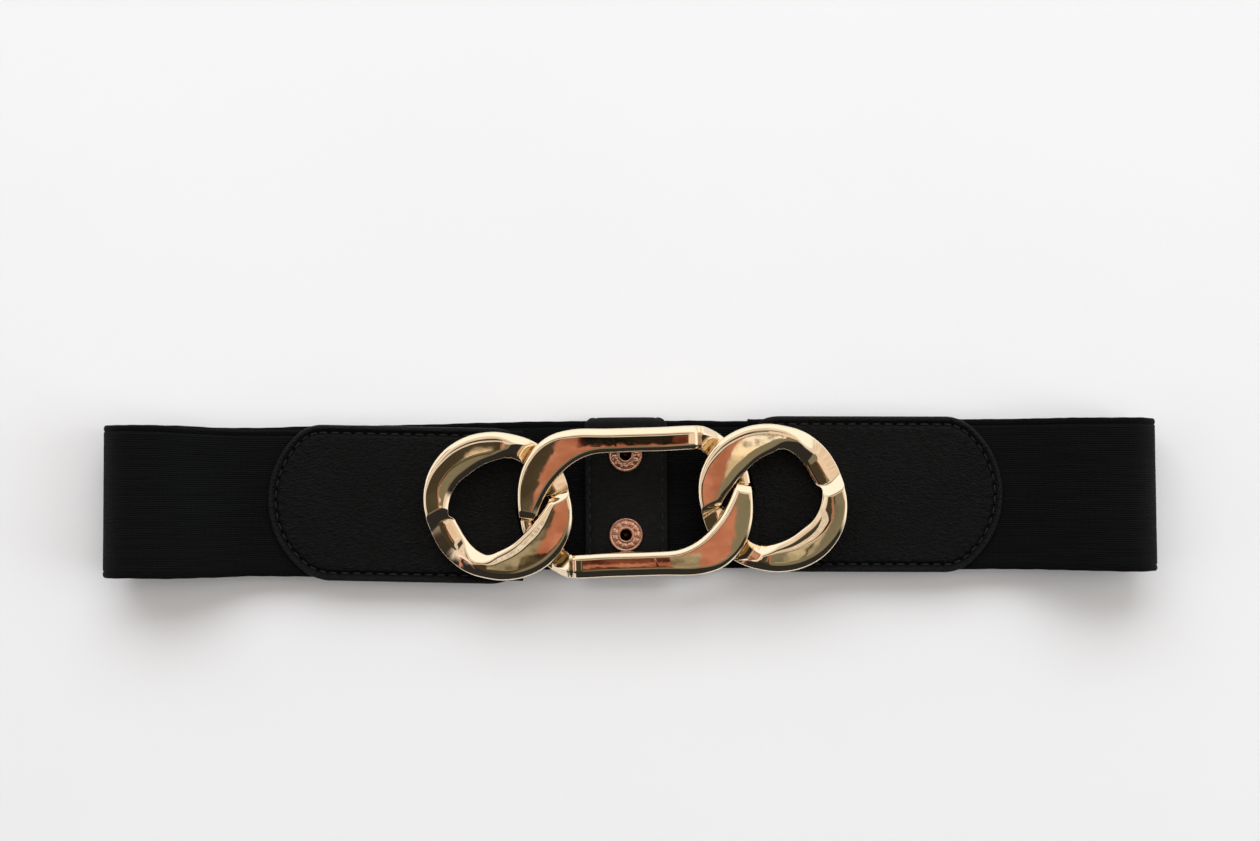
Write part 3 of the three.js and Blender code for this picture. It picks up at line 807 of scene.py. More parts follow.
def bevelled(from_outer, from_inner, section):
    """Levels across a flat face with a bevel along each edge, by the distances from the edges."""
    top = section["top"]
    outer = top - section["out_deep"] + from_outer * section["out_deep"] / section["out_wide"]
    inner = top - section["in_deep"] + from_inner * section["in_deep"] / section["in_wide"]
    share = from_outer / (from_outer + from_inner)
    crown = CROWN * (1 - (2 * share - 1) ** 2)
    fall = section["lean"] * NECK_LEAN * (share - 0.5) * (from_outer + from_inner)
    face = top + crown - fall
    if "step_wide" in section:
        step = top - STEP_SLOPE * (section["in_wide"] + section["step_wide"] - from_inner)
        face = soft_min(face, step, STEP_CREASE)
    rolled = soft_min(face, outer, section.get("out_roll", CREASE))
    return soft_min(rolled, inner, section.get("in_roll", CREASE))


def nose_level(inside, length):
    """The sloping end of a crescent and the steep drop after it. inside: distance in from the
    face's end; length: how far out the slope goes."""
    slope = LINK_TOP + NOSE["slope"] * inside
    drop = LINK_TOP - NOSE["slope"] * length + NOSE["drop_slope"] * (inside + length)
    return soft_min(slope, drop, NOSE["blend"])


def section_at(rows, key, places):
    """Smooth curves through a table's columns, by the one called key."""
    keys = column(rows, key)
    return {name: smooth_curve(places, keys, column(rows, name)) for name in rows[0] if name != key}


def squareness(edge, direction):
    """How square the sections stand to an edge: 1 where they cross it at a right angle."""
    ahead = directions_of(np.roll(edge, -1, axis=0) - np.roll(edge, 1, axis=0))
    return np.abs(ahead[:, 0] * direction[:, 1] - ahead[:, 1] * direction[:, 0])[:, None]


def link_shell(outer, inner, under, levels_by):
    """outer, inner: the edges at each station; under: the underside's level there;
    levels_by(share, from_outer, from_inner): levels of the top, by the share of the way across
    and the distances from the edges."""
    wide = np.linalg.norm(inner - outer, axis=1)[:, None]
    direction = (inner - outer) / wide
    outer_square, inner_square = squareness(outer, direction), squareness(inner, direction)

    def levels_at(across):
        return levels_by(across / wide, across * outer_square, (wide - across) * inner_square)

    across = CORNER["wide"] + (wide - 2 * CORNER["wide"]) * np.linspace(0, 1, TOP_SAMPLES)
    levels = levels_at(across)
    at_outer, at_inner = levels_at(0 * wide), levels_at(wide)
    lowest = np.minimum(at_outer, at_inner)[:, 0]
    under = np.minimum(under, lowest - CORNER["deep"] - HEEL["size"] - LEAST_SIDE)
    t = np.linspace(0, 1, CORNER["steps"], endpoint=False)

    def corner(edge, at_edge, first):
        bends = ((edge, edge, across[:, [first]]),
                 (at_edge - CORNER["deep"], at_edge, levels[:, [first]]))
        return [(1 - t) ** 2 * a + 2 * t * (1 - t) * b + t ** 2 * c for a, b, c in bends]

    outer_reach, outer_levels = corner(0 * wide, at_outer, 0)
    inner_reach, inner_levels = corner(wide, at_inner, -1)
    foot = 0 * wide + (HEEL["size"], HEEL["middle"], 0.0)
    rise = under[:, None] + (0.0, HEEL["middle"], HEEL["size"])
    reach = np.concatenate([foot, outer_reach, across, inner_reach[:, ::-1],
                            wide - foot[:, ::-1]], axis=1)
    level = np.concatenate([rise, outer_levels, levels, inner_levels[:, ::-1],
                            rise[:, ::-1]], axis=1)
    flat = outer[:, None, :] + direction[:, None, :] * reach[..., None]
    points = np.concatenate([flat, level[..., None]], axis=-1)
    shell = Shell()
    shell.add(points, grid_faces(*points.shape[:2], close_rows=True, close_columns=True))
    return shell


def tucked_level(beyond, rise):
    """The highest level allowed. beyond: how far outside the other link's edge."""
    return PASSING["tuck"] + rise * np.clip(beyond - PASSING["clear"], 0, None)


def inside_ring_hole(x, y):
    """How far places in the buckle's frame lie inside the hole of the nearer ring."""
    ring_x, ring_y = RING_OFFSET - np.abs(x), -y * np.sign(x)
    turn = RING_TIP_ANGLE - np.degrees(np.arctan2(ring_y, ring_x))
    radii = column(RING_ROWS, "inner") - column(RING_ROWS, "swell")
    return np.interp(turn, column(RING_ROWS, "turn"), radii) - np.hypot(ring_x, ring_y)


def middle_edge(*names):
    """One edge of the middle link, both halves."""
    half = np.stack([column(MIDDLE_ROWS, name) for name in names], axis=1)
    return np.concatenate([half, -half])


def beyond_middle_link(x, y):
    """How far places in a ring's own frame lie outside the middle link's crescent."""
    crescent_rows = np.arange(2.0, 9.5, 0.03)
    edge = smooth_loop(middle_edge("outX", "outY"), crescent_rows) + (RING_OFFSET, 0)
    ahead = directions_of(np.gradient(edge, axis=0))
    beyond = []
    for spots in np.stack([x, y], axis=-1):
        away = spots[:, None, :] - edge
        nearest = np.argmin((away ** 2).sum(axis=2), axis=1)
        gap = away[np.arange(len(nearest)), nearest]
        beyond.append(gap[:, 0] * ahead[nearest, 1] - gap[:, 1] * ahead[nearest, 0])
    return np.array(beyond)


def ring_edges():
    outer, inner = [], []
    for half in (0, 1):
        for row in RING_ROWS:
            angle = math.radians(RING_TIP_ANGLE - row["turn"] - half * 180)
            reach = row["inner"] - (row["swell"] if half == 0 else 0)
            outer.append((row["outer"] * math.cos(angle), row["outer"] * math.sin(angle)))
            inner.append((reach * math.cos(angle), reach * math.sin(angle)))
    return np.array(outer), np.array(inner)


def ring_levels(x, y, share, from_outer, from_inner):
    """Levels of the ring's top at plan places. share: how far across from the outer edge."""
    whole = (RING_TIP_ANGLE - np.degrees(np.arctan2(y, x))) % 360
    turn = whole % 180
    nose_from, nose_to = RING_NOSE_SPAN
    on_nose = turn > nose_from
    turn = np.where(on_nose, turn - 180, turn)
    first = (whole < 180) != on_nose
    late = np.where(first, *RING_LATE) * smooth_step(turn, *LATE_SPAN)
    section = section_at(RING_SECTIONS, "turn", turn - late)
    section["step_wide"] = np.where(first, section["step_wide"], 0)
    section["in_roll"] = np.where(first, CREASE, section["in_roll"])
    sunk = np.clip((LINK_TOP - section["top"]) / (LINK_TOP - RING_NECK["top"]), 0, 1)
    section["top"] = section["top"] + np.where(first, FAR_NECK_RAISED, 0) * sunk
    crescent = bevelled(from_outer, from_inner, section)
    line = RING_NOSE["outer"] + (RING_NOSE["inner"] - RING_NOSE["outer"]) * share
    inside = np.radians(turn - line) * np.hypot(x, y)
    neck_top = RING_NECK["top"] + np.where(first, 0, FAR_NECK_RAISED)
    neck = bevelled(from_outer, from_inner, dict(RING_NECK, top=neck_top))
    length = np.where(first, NOSE["length"], NOSE["far_length"])
    ended = soft_max(neck, soft_min(crescent, nose_level(inside, length)))
    level = np.where(turn < nose_to, ended, crescent)
    tucked_from, release, tucked_to = PASSING["ring_turns"]
    limit = (tucked_level(beyond_middle_link(x, y), PASSING["ring_rise"])
             + NO_LIMIT * smooth_step(whole, release, tucked_to))
    tucked = (whole > tucked_from) & (whole < tucked_to)
    return np.where(tucked, soft_min(level, limit, PASSING["blend"]), level)


def ring_shell():
    _, outer, inner, under = stations(*ring_edges(), RING_ROWS, RING_BUSY)

    def levels_by(share, from_outer, from_inner):
        spots = outer[:, None, :] + (inner - outer)[:, None, :] * share[..., None]
        return ring_levels(spots[..., 0], spots[..., 1], share, from_outer, from_inner)

    return link_shell(outer, inner, under, levels_by)


def bar_end_level(x, from_outer, from_inner):
    """The bars' far ends, by distance from the buckle's middle."""
    far, end = np.abs(x), BAR_END
    rise = end["collar_top"] - end["rise_slope"] * (far - end["rise_from"])
    collar = soft_min(rise, end["collar_top"] + 0 * far, end["collar_roll"])
    rim = end["groove"] - end["lip"]
    roll = np.clip((far - rim + end["roll"]) / end["roll"], 0, 1)
    bar = LINK_TOP - end["roll_deep"] * roll ** 2
    top = np.where(far > end["groove"], collar, bar)
    off = np.abs(far - end["groove"])
    lip = end["collar_top"] + end["lip_slope"] * (off - end["lip"])
    wall = (end["collar_top"] - end["lip_slope"] * (end["lip"] - end["wall"])
            + end["wall_slope"] * (off - end["wall"]))
    floor = end["collar_top"] - end["groove_deep"]
    groove = soft_max(soft_min(lip, wall, end["blend"]), floor + 0 * off, end["floor_blend"])
    top = soft_min(top, groove, end["blend"])
    return bevelled(from_outer, from_inner, dict(end["bevel"], top=top))


def middle_shell():
    outer_rows, inner_rows = middle_edge("outX", "outY"), middle_edge("inX", "inY")
    place, outer, inner, under = stations(outer_rows, inner_rows, MIDDLE_ROWS, MIDDLE_BUSY)
    middle_rows = (outer_rows + inner_rows)[:len(MIDDLE_ROWS) + 1] / 2
    row_steps = np.linalg.norm(np.diff(middle_rows, axis=0), axis=1)
    row_lengths = np.concatenate([[0], np.cumsum(row_steps)])

    def length_to(where):
        return np.interp(where, np.arange(len(row_lengths)), row_lengths)

    def levels_by(share, from_outer, from_inner):
        x, y = (outer[:, [k]] + (inner - outer)[:, [k]] * share for k in (0, 1))
        here = place[:, None] + 0 * share
        crescent = bevelled(from_outer, from_inner, section_at(MIDDLE_SECTIONS, "place", here))
        line = MIDDLE_NOSE["outer"] + (MIDDLE_NOSE["inner"] - MIDDLE_NOSE["outer"]) * share
        inside = length_to(line) - length_to(here)
        neck = bevelled(from_outer, from_inner, MIDDLE_NECK)
        ended = soft_max(neck, soft_min(crescent, nose_level(inside, NOSE["length"])))
        nose_limit = tucked_level(inside_ring_hole(x, y), PASSING["nose_rise"])
        nose_limit = nose_limit + NO_LIMIT * (1 - smooth_step(here, *PASSING["nose_rows"]))
        ended = soft_min(ended, nose_limit, PASSING["nose_blend"])
        bar = bar_end_level(x, from_outer, from_inner)
        beyond_ring = np.hypot(np.abs(x) - RING_OFFSET, y) - PASSING["ring_reach"]
        bar_limit = tucked_level(beyond_ring, PASSING["bar_rise"])
        risen = soft_max(neck, soft_min(bar, bar_limit, PASSING["blend"]))
        bar_end = soft_min(bar, crescent, BAR_END["crescent_blend"])
        level = np.where(here < MIDDLE_PARTS["bar_end"], bar_end, crescent)
        level = np.where(here > MIDDLE_PARTS["nose"], ended, level)
        return np.where(here > MIDDLE_PARTS["rise"], risen, level)

    return link_shell(outer, inner, under, levels_by)


def add_round_bar(shell, start, end, radius, sides=20, soft=0.3):
    """A rod between two points with softly rounded ends."""
    start, end = np.array(start, float), np.array(end, float)
    along = (end - start) / np.linalg.norm(end - start)
    side = np.cross(along, (0.3, 0.5, 0.8))
    side /= np.linalg.norm(side)
    angle = np.linspace(0, 2 * math.pi, sides, endpoint=False)
    ring = np.outer(np.cos(angle), side) + np.outer(np.sin(angle), np.cross(along, side))
    rings = ((start, radius - soft), (start + along * soft, radius),
             (end - along * soft, radius), (end, radius - soft))
    shell.add_tube(np.array([centre + ring * size for centre, size in rings]))


def add_tab_bar(shell):
    x, level = BAR_FROM_RING, BAR_LEVEL - BUCKLE_BASE
    add_round_bar(shell, (x, -LUG_SPREAD, level), (x, LUG_SPREAD, level), BAR_RADIUS)
    for side, top in LUG_TOPS.items():
        y = side * LUG_SPREAD
        add_round_bar(shell, (x, y, level - BAR_RADIUS), (x, y, top), LUG_RADIUS)


def link_piece(name, shell, offset=0.0, turn=0.0):
    """A link's piece, moved from its own frame to its place in the buckle."""
    shell.move(turn, (offset, 0, 0))
    shell.move(BUCKLE_TURN, (BUCKLE_CENTRE[0], BUCKLE_CENTRE[1], BUCKLE_BASE))
    make_piece(name + "_gold", shell, GOLD, [name])


def ring_piece(name, offset, turn):
    shell = ring_shell()
    add_tab_bar(shell)
    link_piece(name, shell, offset, turn)


# Stitches

def stitch_shape(sides=8, rings=7):
    """One stitch: a thread along X, its length and thickness 1, and how far its ends dive."""
    t = np.linspace(-1, 1, rings)[:, None]
    size = np.sqrt(np.clip(1 - t ** 4, 0.02, 1)) / 2
    angle = np.linspace(0, 2 * math.pi, sides, endpoint=False)
    return [part[..., None] for part in (t / 2 + 0 * angle, size * np.cos(angle),
                                         size * np.sin(angle), t ** 4 + 0 * angle)]


# Length and thickness of a stitch, and how deep its ends dive
TAB_STITCH = (2.9, 0.46, 0.5)
KEEPER_STITCH = (2.5, 0.5, 0.35)


def add_stitches(shell, places, directions, up, stitch):
    """up: 1 on an upper face, -1 on a lower one."""
    x, y, z, dip = stitch_shape()
    length, thick, dive = stitch
    normal = np.array((0.0, 0.0, up))
    for place, direction in zip(places, directions):
        side = np.cross(normal, direction)
        shell.add_tube(place + x * length * direction + y * thick * side
                       + (z * thick - dip * dive) * normal)


# Leather tabs

# The tongue that folds round the bar: half its width, where the face's relief fades towards it,
# where the stitches end, and where the lower ply is let down to pass under the bar
TONGUE = {"half": 16.0, "fade": (-14.0, -6.0), "sewn_to": -13.0, "let_down": (-7.0, -3.0),
          "steps": 12}


def tab_outline(end_shift, spacing=0.42):
    """The tab's edge in its own frame, the bar at the origin, from the tongue's lower corner
    clockwise round the outer end to its upper corner. Also how far along it each point lies."""
    half, tongue_half = TAB_WIDTH / 2, TONGUE["half"]
    shoulder_x, shoulder_end, drop = -3.6, -14.5, 2.8
    near_x, far_x = shoulder_x - 0.8, shoulder_x - 4.4
    arc_x = TAB_END_RADIUS - TAB_REACH
    corner, corner_run = 2.8, 4.0

    def arc_at(y):
        return arc_x - math.sqrt(TAB_END_RADIUS ** 2 - (y - end_shift) ** 2)

    def angle_at(y):
        return math.atan2(y - end_shift, arc_at(y) - arc_x) % (2 * math.pi)

    return resampled(np.concatenate([
        line_points((BAR_PLAY, -tongue_half), (shoulder_x, -tongue_half)),
        bezier_points((shoulder_x, -tongue_half), (near_x, drop - half), (far_x, -half),
                      (shoulder_end, -half)),
        line_points((shoulder_end, -half), (arc_at(-half) + corner_run, -half)),
        quadratic_points((arc_at(-half) + corner_run, -half), (arc_at(-half), -half),
                         (arc_at(corner - half), corner - half)),
        arc_points((arc_x, end_shift), TAB_END_RADIUS, angle_at(corner - half),
                   angle_at(half - corner)),
        quadratic_points((arc_at(half - corner), half - corner), (arc_at(half), half),
                         (arc_at(half) + corner_run, half)),
        line_points((arc_at(half) + corner_run, half), (shoulder_end, half)),
        bezier_points((shoulder_end, half), (far_x, half), (near_x, half - drop),
                      (shoulder_x, tongue_half)),
        line_points((shoulder_x, tongue_half), (BAR_PLAY, tongue_half)),
        [(BAR_PLAY, tongue_half)]]), spacing)


def tongue_line(count=41):
    """Straight across the tongue at the bar, from its upper corner back to the lower one."""
    y = np.linspace(TONGUE["half"], -TONGUE["half"], count)[1:-1]
    return np.stack([np.full_like(y, BAR_PLAY), y], axis=1)


# Height of the tab's face at a distance in from its edge: rolled rim, stitch channel, soft panel
TAB_RELIEF = table(
    "inset height",
    (0.0, -0.6), (0.12, -0.32), (0.3, -0.12), (0.6, 0.0), (0.95, 0.02), (1.3, -0.05),
    (1.65, -0.24), (2.0, -0.52), (2.35, -0.7), (2.75, -0.72), (3.05, -0.56), (3.35, -0.2),
    (3.7, 0.02), (4.4, 0.1))
# The soft panel inside it: how high it puffs up and by what share of the way in, over how many
# rings; far_in: the inset that its marks give, far from any stitch
PANEL = {"puff": 0.2, "risen_at": 0.7, "rings": 15, "far_in": 20.0}
# The rings that the flat inner faces are made of
UNDER_RINGS = [0, 2, 4, 8, 14, 20, -1]
# Beside the stitches the panel puffs up between two insets and falls again between two more, and
# the leather dips where the needle went in
STITCH_PUFF = {"height": 0.16, "rise": (2.6, 3.1), "fall": (3.6, 5.2)}
STITCH_DIP = {"depth": 0.3, "reach": 0.6}


def tab_surfaces(edge, places):
    """One ply of a tab, by rings of points from its rim to its middle line: plan places, levels
    and marks. Also the way in from the rim."""
    loop = np.concatenate([edge, tongue_line()])
    ahead = np.roll(loop, -1, axis=0) - np.roll(loop, 1, axis=0)
    inward = directions_of(np.stack([ahead[:, 1], -ahead[:, 0]], axis=1))
    tongue = np.ones(len(loop))
    tongue[:len(edge)] = smooth_step(edge[:, 0], *TONGUE["fade"])
    distance = np.append(places, np.zeros(len(loop) - len(edge)))
    scallop = np.cos(distance / STITCH_PITCH * 2 * math.pi)
    holes = np.clip(scallop, 0, None) ** 3
    insets, heights = column(TAB_RELIEF, "inset"), column(TAB_RELIEF, "height")
    rings, levels = [], []
    for inset, height in zip(insets, heights):
        up, down = (smooth_step(inset, *STITCH_PUFF[way]) for way in ("rise", "fall"))
        puff = STITCH_PUFF["height"] * scallop * up * (1 - down)
        near_hole = max(0.0, 1 - abs(inset - STITCH_INSET) / STITCH_DIP["reach"])
        rings.append(loop + inward * inset)
        levels.append((height + puff - STITCH_DIP["depth"] * holes * near_hole) * (1 - tongue))
    arc_x = TAB_END_RADIUS - TAB_REACH
    medial = np.stack([np.clip(loop[:, 0], arc_x, TONGUE["fade"][1]), np.zeros(len(loop))], axis=1)
    last = rings[-1]
    for t in np.linspace(0, 1, PANEL["rings"] + 1)[1:]:
        here = last + (medial - last) * t
        risen = smooth_step(t, 0.0, PANEL["risen_at"])
        rise = heights[-1] + (PANEL["puff"] - heights[-1]) * risen
        rings.append(here)
        levels.append(rise * (1 - smooth_step(here[:, 0], *TONGUE["fade"])))
    depth = np.append(insets, np.full(PANEL["rings"], PANEL["far_in"]))[:, None] + 0 * distance
    marks = np.stack([distance / STITCH_PITCH + 0 * depth, depth, 1 - tongue + 0 * depth], axis=-1)
    return np.array(rings), np.array(levels), marks, inward


# Levels of a ply's faces off the band's middle line
INNER_FACE = BAND_THICK / 2 + GAP
OUTER_FACE = INNER_FACE + LEATHER_THICK
# A stitch points to the place this much further along its line
HEADING_STEP = 0.4


def tab_shell(rim_points, rings, levels, marks):
    """Both plies of a tab and their fold round the bar."""
    shell = Shell()
    under_rings = rings[UNDER_RINGS]
    faces = {"outer": (rings, levels + OUTER_FACE, marks),
             "inner": (under_rings, INNER_FACE + 0 * under_rings[..., 0], (0.0, 0.0, 0.0))}
    starts = {}
    for side in (1, -1):
        for kind, (plan, level, lie) in faces.items():
            down = 2 * BAR_DROP * smooth_step(plan[..., 0], *TONGUE["let_down"]) if side < 0 else 0
            points = np.concatenate([plan, (level * side - down)[..., None]], axis=-1)
            starts[side, kind] = shell.add(
                points, grid_faces(*plan.shape[:2], close_columns=True), lie)
        shell.join(*(range(starts[side, kind], starts[side, kind] + rim_points) for kind in faces))
    tongue = [*range(rim_points - 1, rings.shape[1]), 0]
    across = rings[0][tongue, 1]
    reach = {"outer": BAR_RADIUS + GAP + LEATHER_THICK, "inner": BAR_RADIUS + GAP}
    strips = {kind: [[starts[1, kind] + i for i in tongue]] for kind in reach}
    for angle in np.linspace(math.pi / 2, -math.pi / 2, TONGUE["steps"] + 1)[1:-1]:
        for kind, radius in reach.items():
            x, z = BAR_PLAY + radius * math.cos(angle), -BAR_DROP + radius * math.sin(angle)
            first = shell.add([(x, y, z) for y in across], [])
            strips[kind].append(range(first, first + len(across)))
    for kind, strip in strips.items():
        strip.append([starts[-1, kind] + i for i in tongue])
        for a, b in zip(strip, strip[1:]):
            shell.join(a, b)
    for end in (0, -1):
        shell.join(*([row[end] for row in strip] for strip in strips.values()))
    return shell


def tab_threads(line, places):
    """The stitches along a line inside the tab's rim, on both faces."""
    shell = Shell()
    stitched = np.arange(STITCH_PITCH * 0.5, places[-1], STITCH_PITCH)
    at, after = (np.stack([np.interp(spots, places, line[:, k]) for k in (0, 1)], axis=1)
                 for spots in (stitched, stitched + HEADING_STEP))
    kept = at[:, 0] < TONGUE["sewn_to"]
    level = np.zeros((kept.sum(), 1))
    heading = np.append(directions_of(after[kept] - at[kept]), level, axis=1)
    for side in (1, -1):
        spots = np.append(at[kept], level + (OUTER_FACE - STITCH_SUNK) * side, axis=1)
        add_stitches(shell, spots, heading, side, TAB_STITCH)
    return shell


def tab_piece(name):
    edge, places = tab_outline(TAB_END_SHIFT[name])
    rings, levels, marks, inward = tab_surfaces(edge, places)
    shell = tab_shell(len(edge), rings, levels, marks)
    threads = tab_threads(edge + inward[:len(edge)] * STITCH_INSET, places)
    turn = LEFT_RUN["turn"] if name == "tab_left" else RIGHT_RUN["turn"] + math.pi
    x = BAR_X[name]
    for part in (shell, threads):
        part.move(turn, (x, KEEPER_CENTRE[1] + TAB_RAISED + float(run_offset(x)), RUN_LEVEL))
    make_piece(name + "_leather", shell, PANEL_LEATHER, [name])
    make_piece(name + "_stitches", threads, THREAD)


# Keeper

# Height of the keeper's face at a distance in from its edge
KEEPER_EDGE = table(
    "inset height",
    (0.0, -0.5), (0.12, -0.22), (0.32, -0.06), (0.6, 0.0), (0.95, -0.04), (1.3, -0.17),
    (1.7, -0.24), (2.1, -0.17), (2.6, -0.04), (3.4, 0.0), (6.0, 0.03), (10.0, 0.05), (14.1, 0.05))
# How much further than the solid it reaches, its path's corners, and how its outline narrows there
KEEPER_LONGER = 0.35
KEEPER_PATH = {"radius": 1.95, "corner_steps": 14, "step": 0.9}
KEEPER_CORNER = 3.5
KEEPER_NARROWS = 0.75
KEEPER_STITCHES = {"inset": 1.75, "sunk": 0.25, "margin": 0.5}


def keeper_path(half, low, high):
    """A rounded rectangle of (Y, Z) and the direction out of it, from the front's corner round."""
    right, radius, steps = math.pi / 2, KEEPER_PATH["radius"], KEEPER_PATH["corner_steps"]
    corners = [(half - radius, high - radius, right), (half - radius, low + radius, 0.0),
               (radius - half, low + radius, -right), (radius - half, high - radius, 2 * right)]
    points, normals = [], []
    for (*here, start), (*there, next_start) in zip(corners, corners[1:] + corners[:1]):
        arc = arc_points((0, 0), 1.0, start, start - right, steps)
        leave, arrive = (np.array([math.cos(a), math.sin(a)]) for a in (start - right, next_start))
        straight = line_points(here + radius * leave, there + radius * arrive,
                               KEEPER_PATH["step"])
        points += [here + radius * arc, straight]
        normals += [arc, np.tile(arrive, (len(straight), 1))]
    return np.concatenate(points), np.concatenate(normals)


def keeper_piece():
    half = (keeper_high[1] - keeper_low[1]) / 2 + KEEPER_LONGER
    width = KEEPER_WIDTH / 2
    path, outward = keeper_path(half, KEEPER_UNDER, KEEPER_TOP)
    insets, heights = column(KEEPER_EDGE, "inset"), column(KEEPER_EDGE, "height")
    offsets = np.concatenate([insets - width, (width - insets)[-2::-1]])
    relief = np.concatenate([heights, heights[-2::-1]])
    drop = np.clip(np.abs(path[:, :1]) - (half - KEEPER_CORNER), 0, KEEPER_CORNER)
    narrow = KEEPER_CORNER - np.sqrt(np.clip(KEEPER_CORNER ** 2 - drop ** 2, 0, None))
    scale = 1 - KEEPER_NARROWS * narrow / width

    def wrapped(offsets, off):
        """Points by their offsets along the belt and how far out of the path they stand."""
        return np.stack([KEEPER_CENTRE[0] + offsets * scale,
                         KEEPER_CENTRE[1] + path[:, :1] + outward[:, :1] * off,
                         path[:, 1:] + outward[:, 1:] * off], axis=-1)

    inner = offsets[::6]
    section = np.concatenate([wrapped(offsets, relief),
                              wrapped(inner, 0 * inner - LEATHER_THICK)[:, ::-1]], axis=1)
    shell = Shell()
    shell.add(section, grid_faces(*section.shape[:2], close_rows=True, close_columns=True))
    leather = make_piece("keeper_leather", shell, SMOOTH_LEATHER, ["back_keeper"])
    threads = Shell()
    reach = half - KEEPER_CORNER - KEEPER_STITCHES["margin"]
    for side in (-1, 1):
        x = KEEPER_CENTRE[0] + side * (width - KEEPER_STITCHES["inset"])
        for up, face in ((1, KEEPER_TOP), (-1, KEEPER_UNDER)):
            spots = [(x, KEEPER_CENTRE[1] + y, face - up * KEEPER_STITCHES["sunk"])
                     for y in np.arange(-reach, reach, STITCH_PITCH)]
            add_stitches(threads, spots, [(0.0, 1.0, 0.0)] * len(spots), up, KEEPER_STITCH)
    make_piece("keeper_stitches", threads, THREAD)
    return leather


# Snaps

SNAPS = ("snap_upper", "snap_lower")
# From the hole's floor out over the ring. petals: how much of the petals' height shows there
SNAP_RING = table(
    "radius level petals",
    (0.35, -3.0, 0), (0.9, -2.8, 0), (1.45, -2.1, 0), (1.7, -1.3, 0), (1.86, -0.55, 0),
    (2.02, -0.2, 0), (2.2, -0.02, 0), (2.45, 0.0, 0), (2.68, -0.12, 0), (2.85, -0.34, 0),
    (3.05, -0.42, 0.35), (3.35, -0.42, 0.85), (3.75, -0.44, 1.0), (4.15, -0.46, 0.95),
    (4.5, -0.5, 0.6), (4.75, -0.52, 0.15), (4.92, -0.45, 0), (5.1, -0.24, 0), (5.32, -0.12, 0),
    (5.55, -0.2, 0), (5.68, -0.42, 0), (5.7, -0.8, 0), (5.6, -0.98, 0))
SNAP_PETALS = 11
PETAL_SIDES = 14
PETAL_HEIGHT = 0.5
SNAP_SHANK = 2.6
# The hole that is cut for it, in metres
DRILL = {"vertices": 40, "depth": 0.03}
# The plain cap outside, from its inner face to its middle, by levels above its lowest
SNAP_CAP = table(
    "radius level",
    (5.5, 1.0), (5.5, 0.55), (5.3, 0.25), (4.7, 0.06), (3.4, 0.0))


def snap_piece(name):
    low, high = node_box(name)
    centre = (low + high) / 2
    angle = np.linspace(0, 2 * math.pi, SNAP_PETALS * PETAL_SIDES, endpoint=False)
    wave = np.sqrt(np.abs(np.cos(angle * SNAP_PETALS / 2)))
    rings = [(row["radius"], high[2] + row["level"] + PETAL_HEIGHT * row["petals"] * wave)
             for row in SNAP_RING]
    cap = [(row["radius"], low[2] + row["level"]) for row in SNAP_CAP]
    rings += [(SNAP_SHANK, KEEPER_TOP + GAP), (SNAP_SHANK, cap[0][1]), *cap]
    shell = Shell()
    shell.add_tube(np.array([
        np.stack([centre[0] + radius * np.cos(angle), centre[1] + radius * np.sin(angle),
                  level + 0 * angle], axis=1) for radius, level in rings]))
    make_piece(name + "_copper", shell, COPPER, [name])


def cut_snap_holes(piece):
    """Clears the snaps' shanks, with the same hole in leather and elastic."""
    for name in SNAPS:
        low, high = node_box(name)
        centre = (low + high) / 2 * MM
        bpy.ops.mesh.primitive_cylinder_add(
            radius=(SNAP_SHANK + GAP) * MM, location=centre, **DRILL)
        drill = bpy.context.object
        cut = piece.modifiers.new("hole", "BOOLEAN")
        cut.operation = "DIFFERENCE"
        cut.solver = "EXACT"
        cut.object = drill
        with bpy.context.temp_override(object=piece, active_object=piece):
            bpy.ops.object.modifier_apply(modifier=cut.name)
        bpy.data.objects.remove(drill)


# Table, lights and camera, in metres

TABLE_HALF = 10.0
TABLE_LEVEL = -0.00002
CAMERA_PLACE = (0.0, (KEEPER_CENTRE[1] + 25.9) * MM, 0.6)
CAMERA_ROLL = math.radians(-0.37)
CAMERA_LENS = 50.0
LIGHT_COLOUR = (0.9, 0.955, 1.0)
LIGHTS = table(
    "name place size power",
    ("key", (-0.225, 1.725, 1.575), (2.85, 1.35), 42.5),
    ("overhead", (2.1, -0.3, 4.5), (4.2, 4.2), 32.0),
    ("left", (-3.75, -0.3, 1.8), (2.4, 2.7), 9.0),
    ("right", (3.75, -0.3, 1.8), (2.4, 2.7), 54.0))


def table_piece():
    mesh = bpy.data.meshes.new("table")
    corners = [(x * TABLE_HALF, y * TABLE_HALF, TABLE_LEVEL)
               for x, y in ((-1, -1), (1, -1), (1, 1), (-1, 1))]
    mesh.from_pydata(corners, [], [(0, 1, 2, 3)])
    mesh.materials.append(table_material())
    table = put_in_scene("table", mesh)


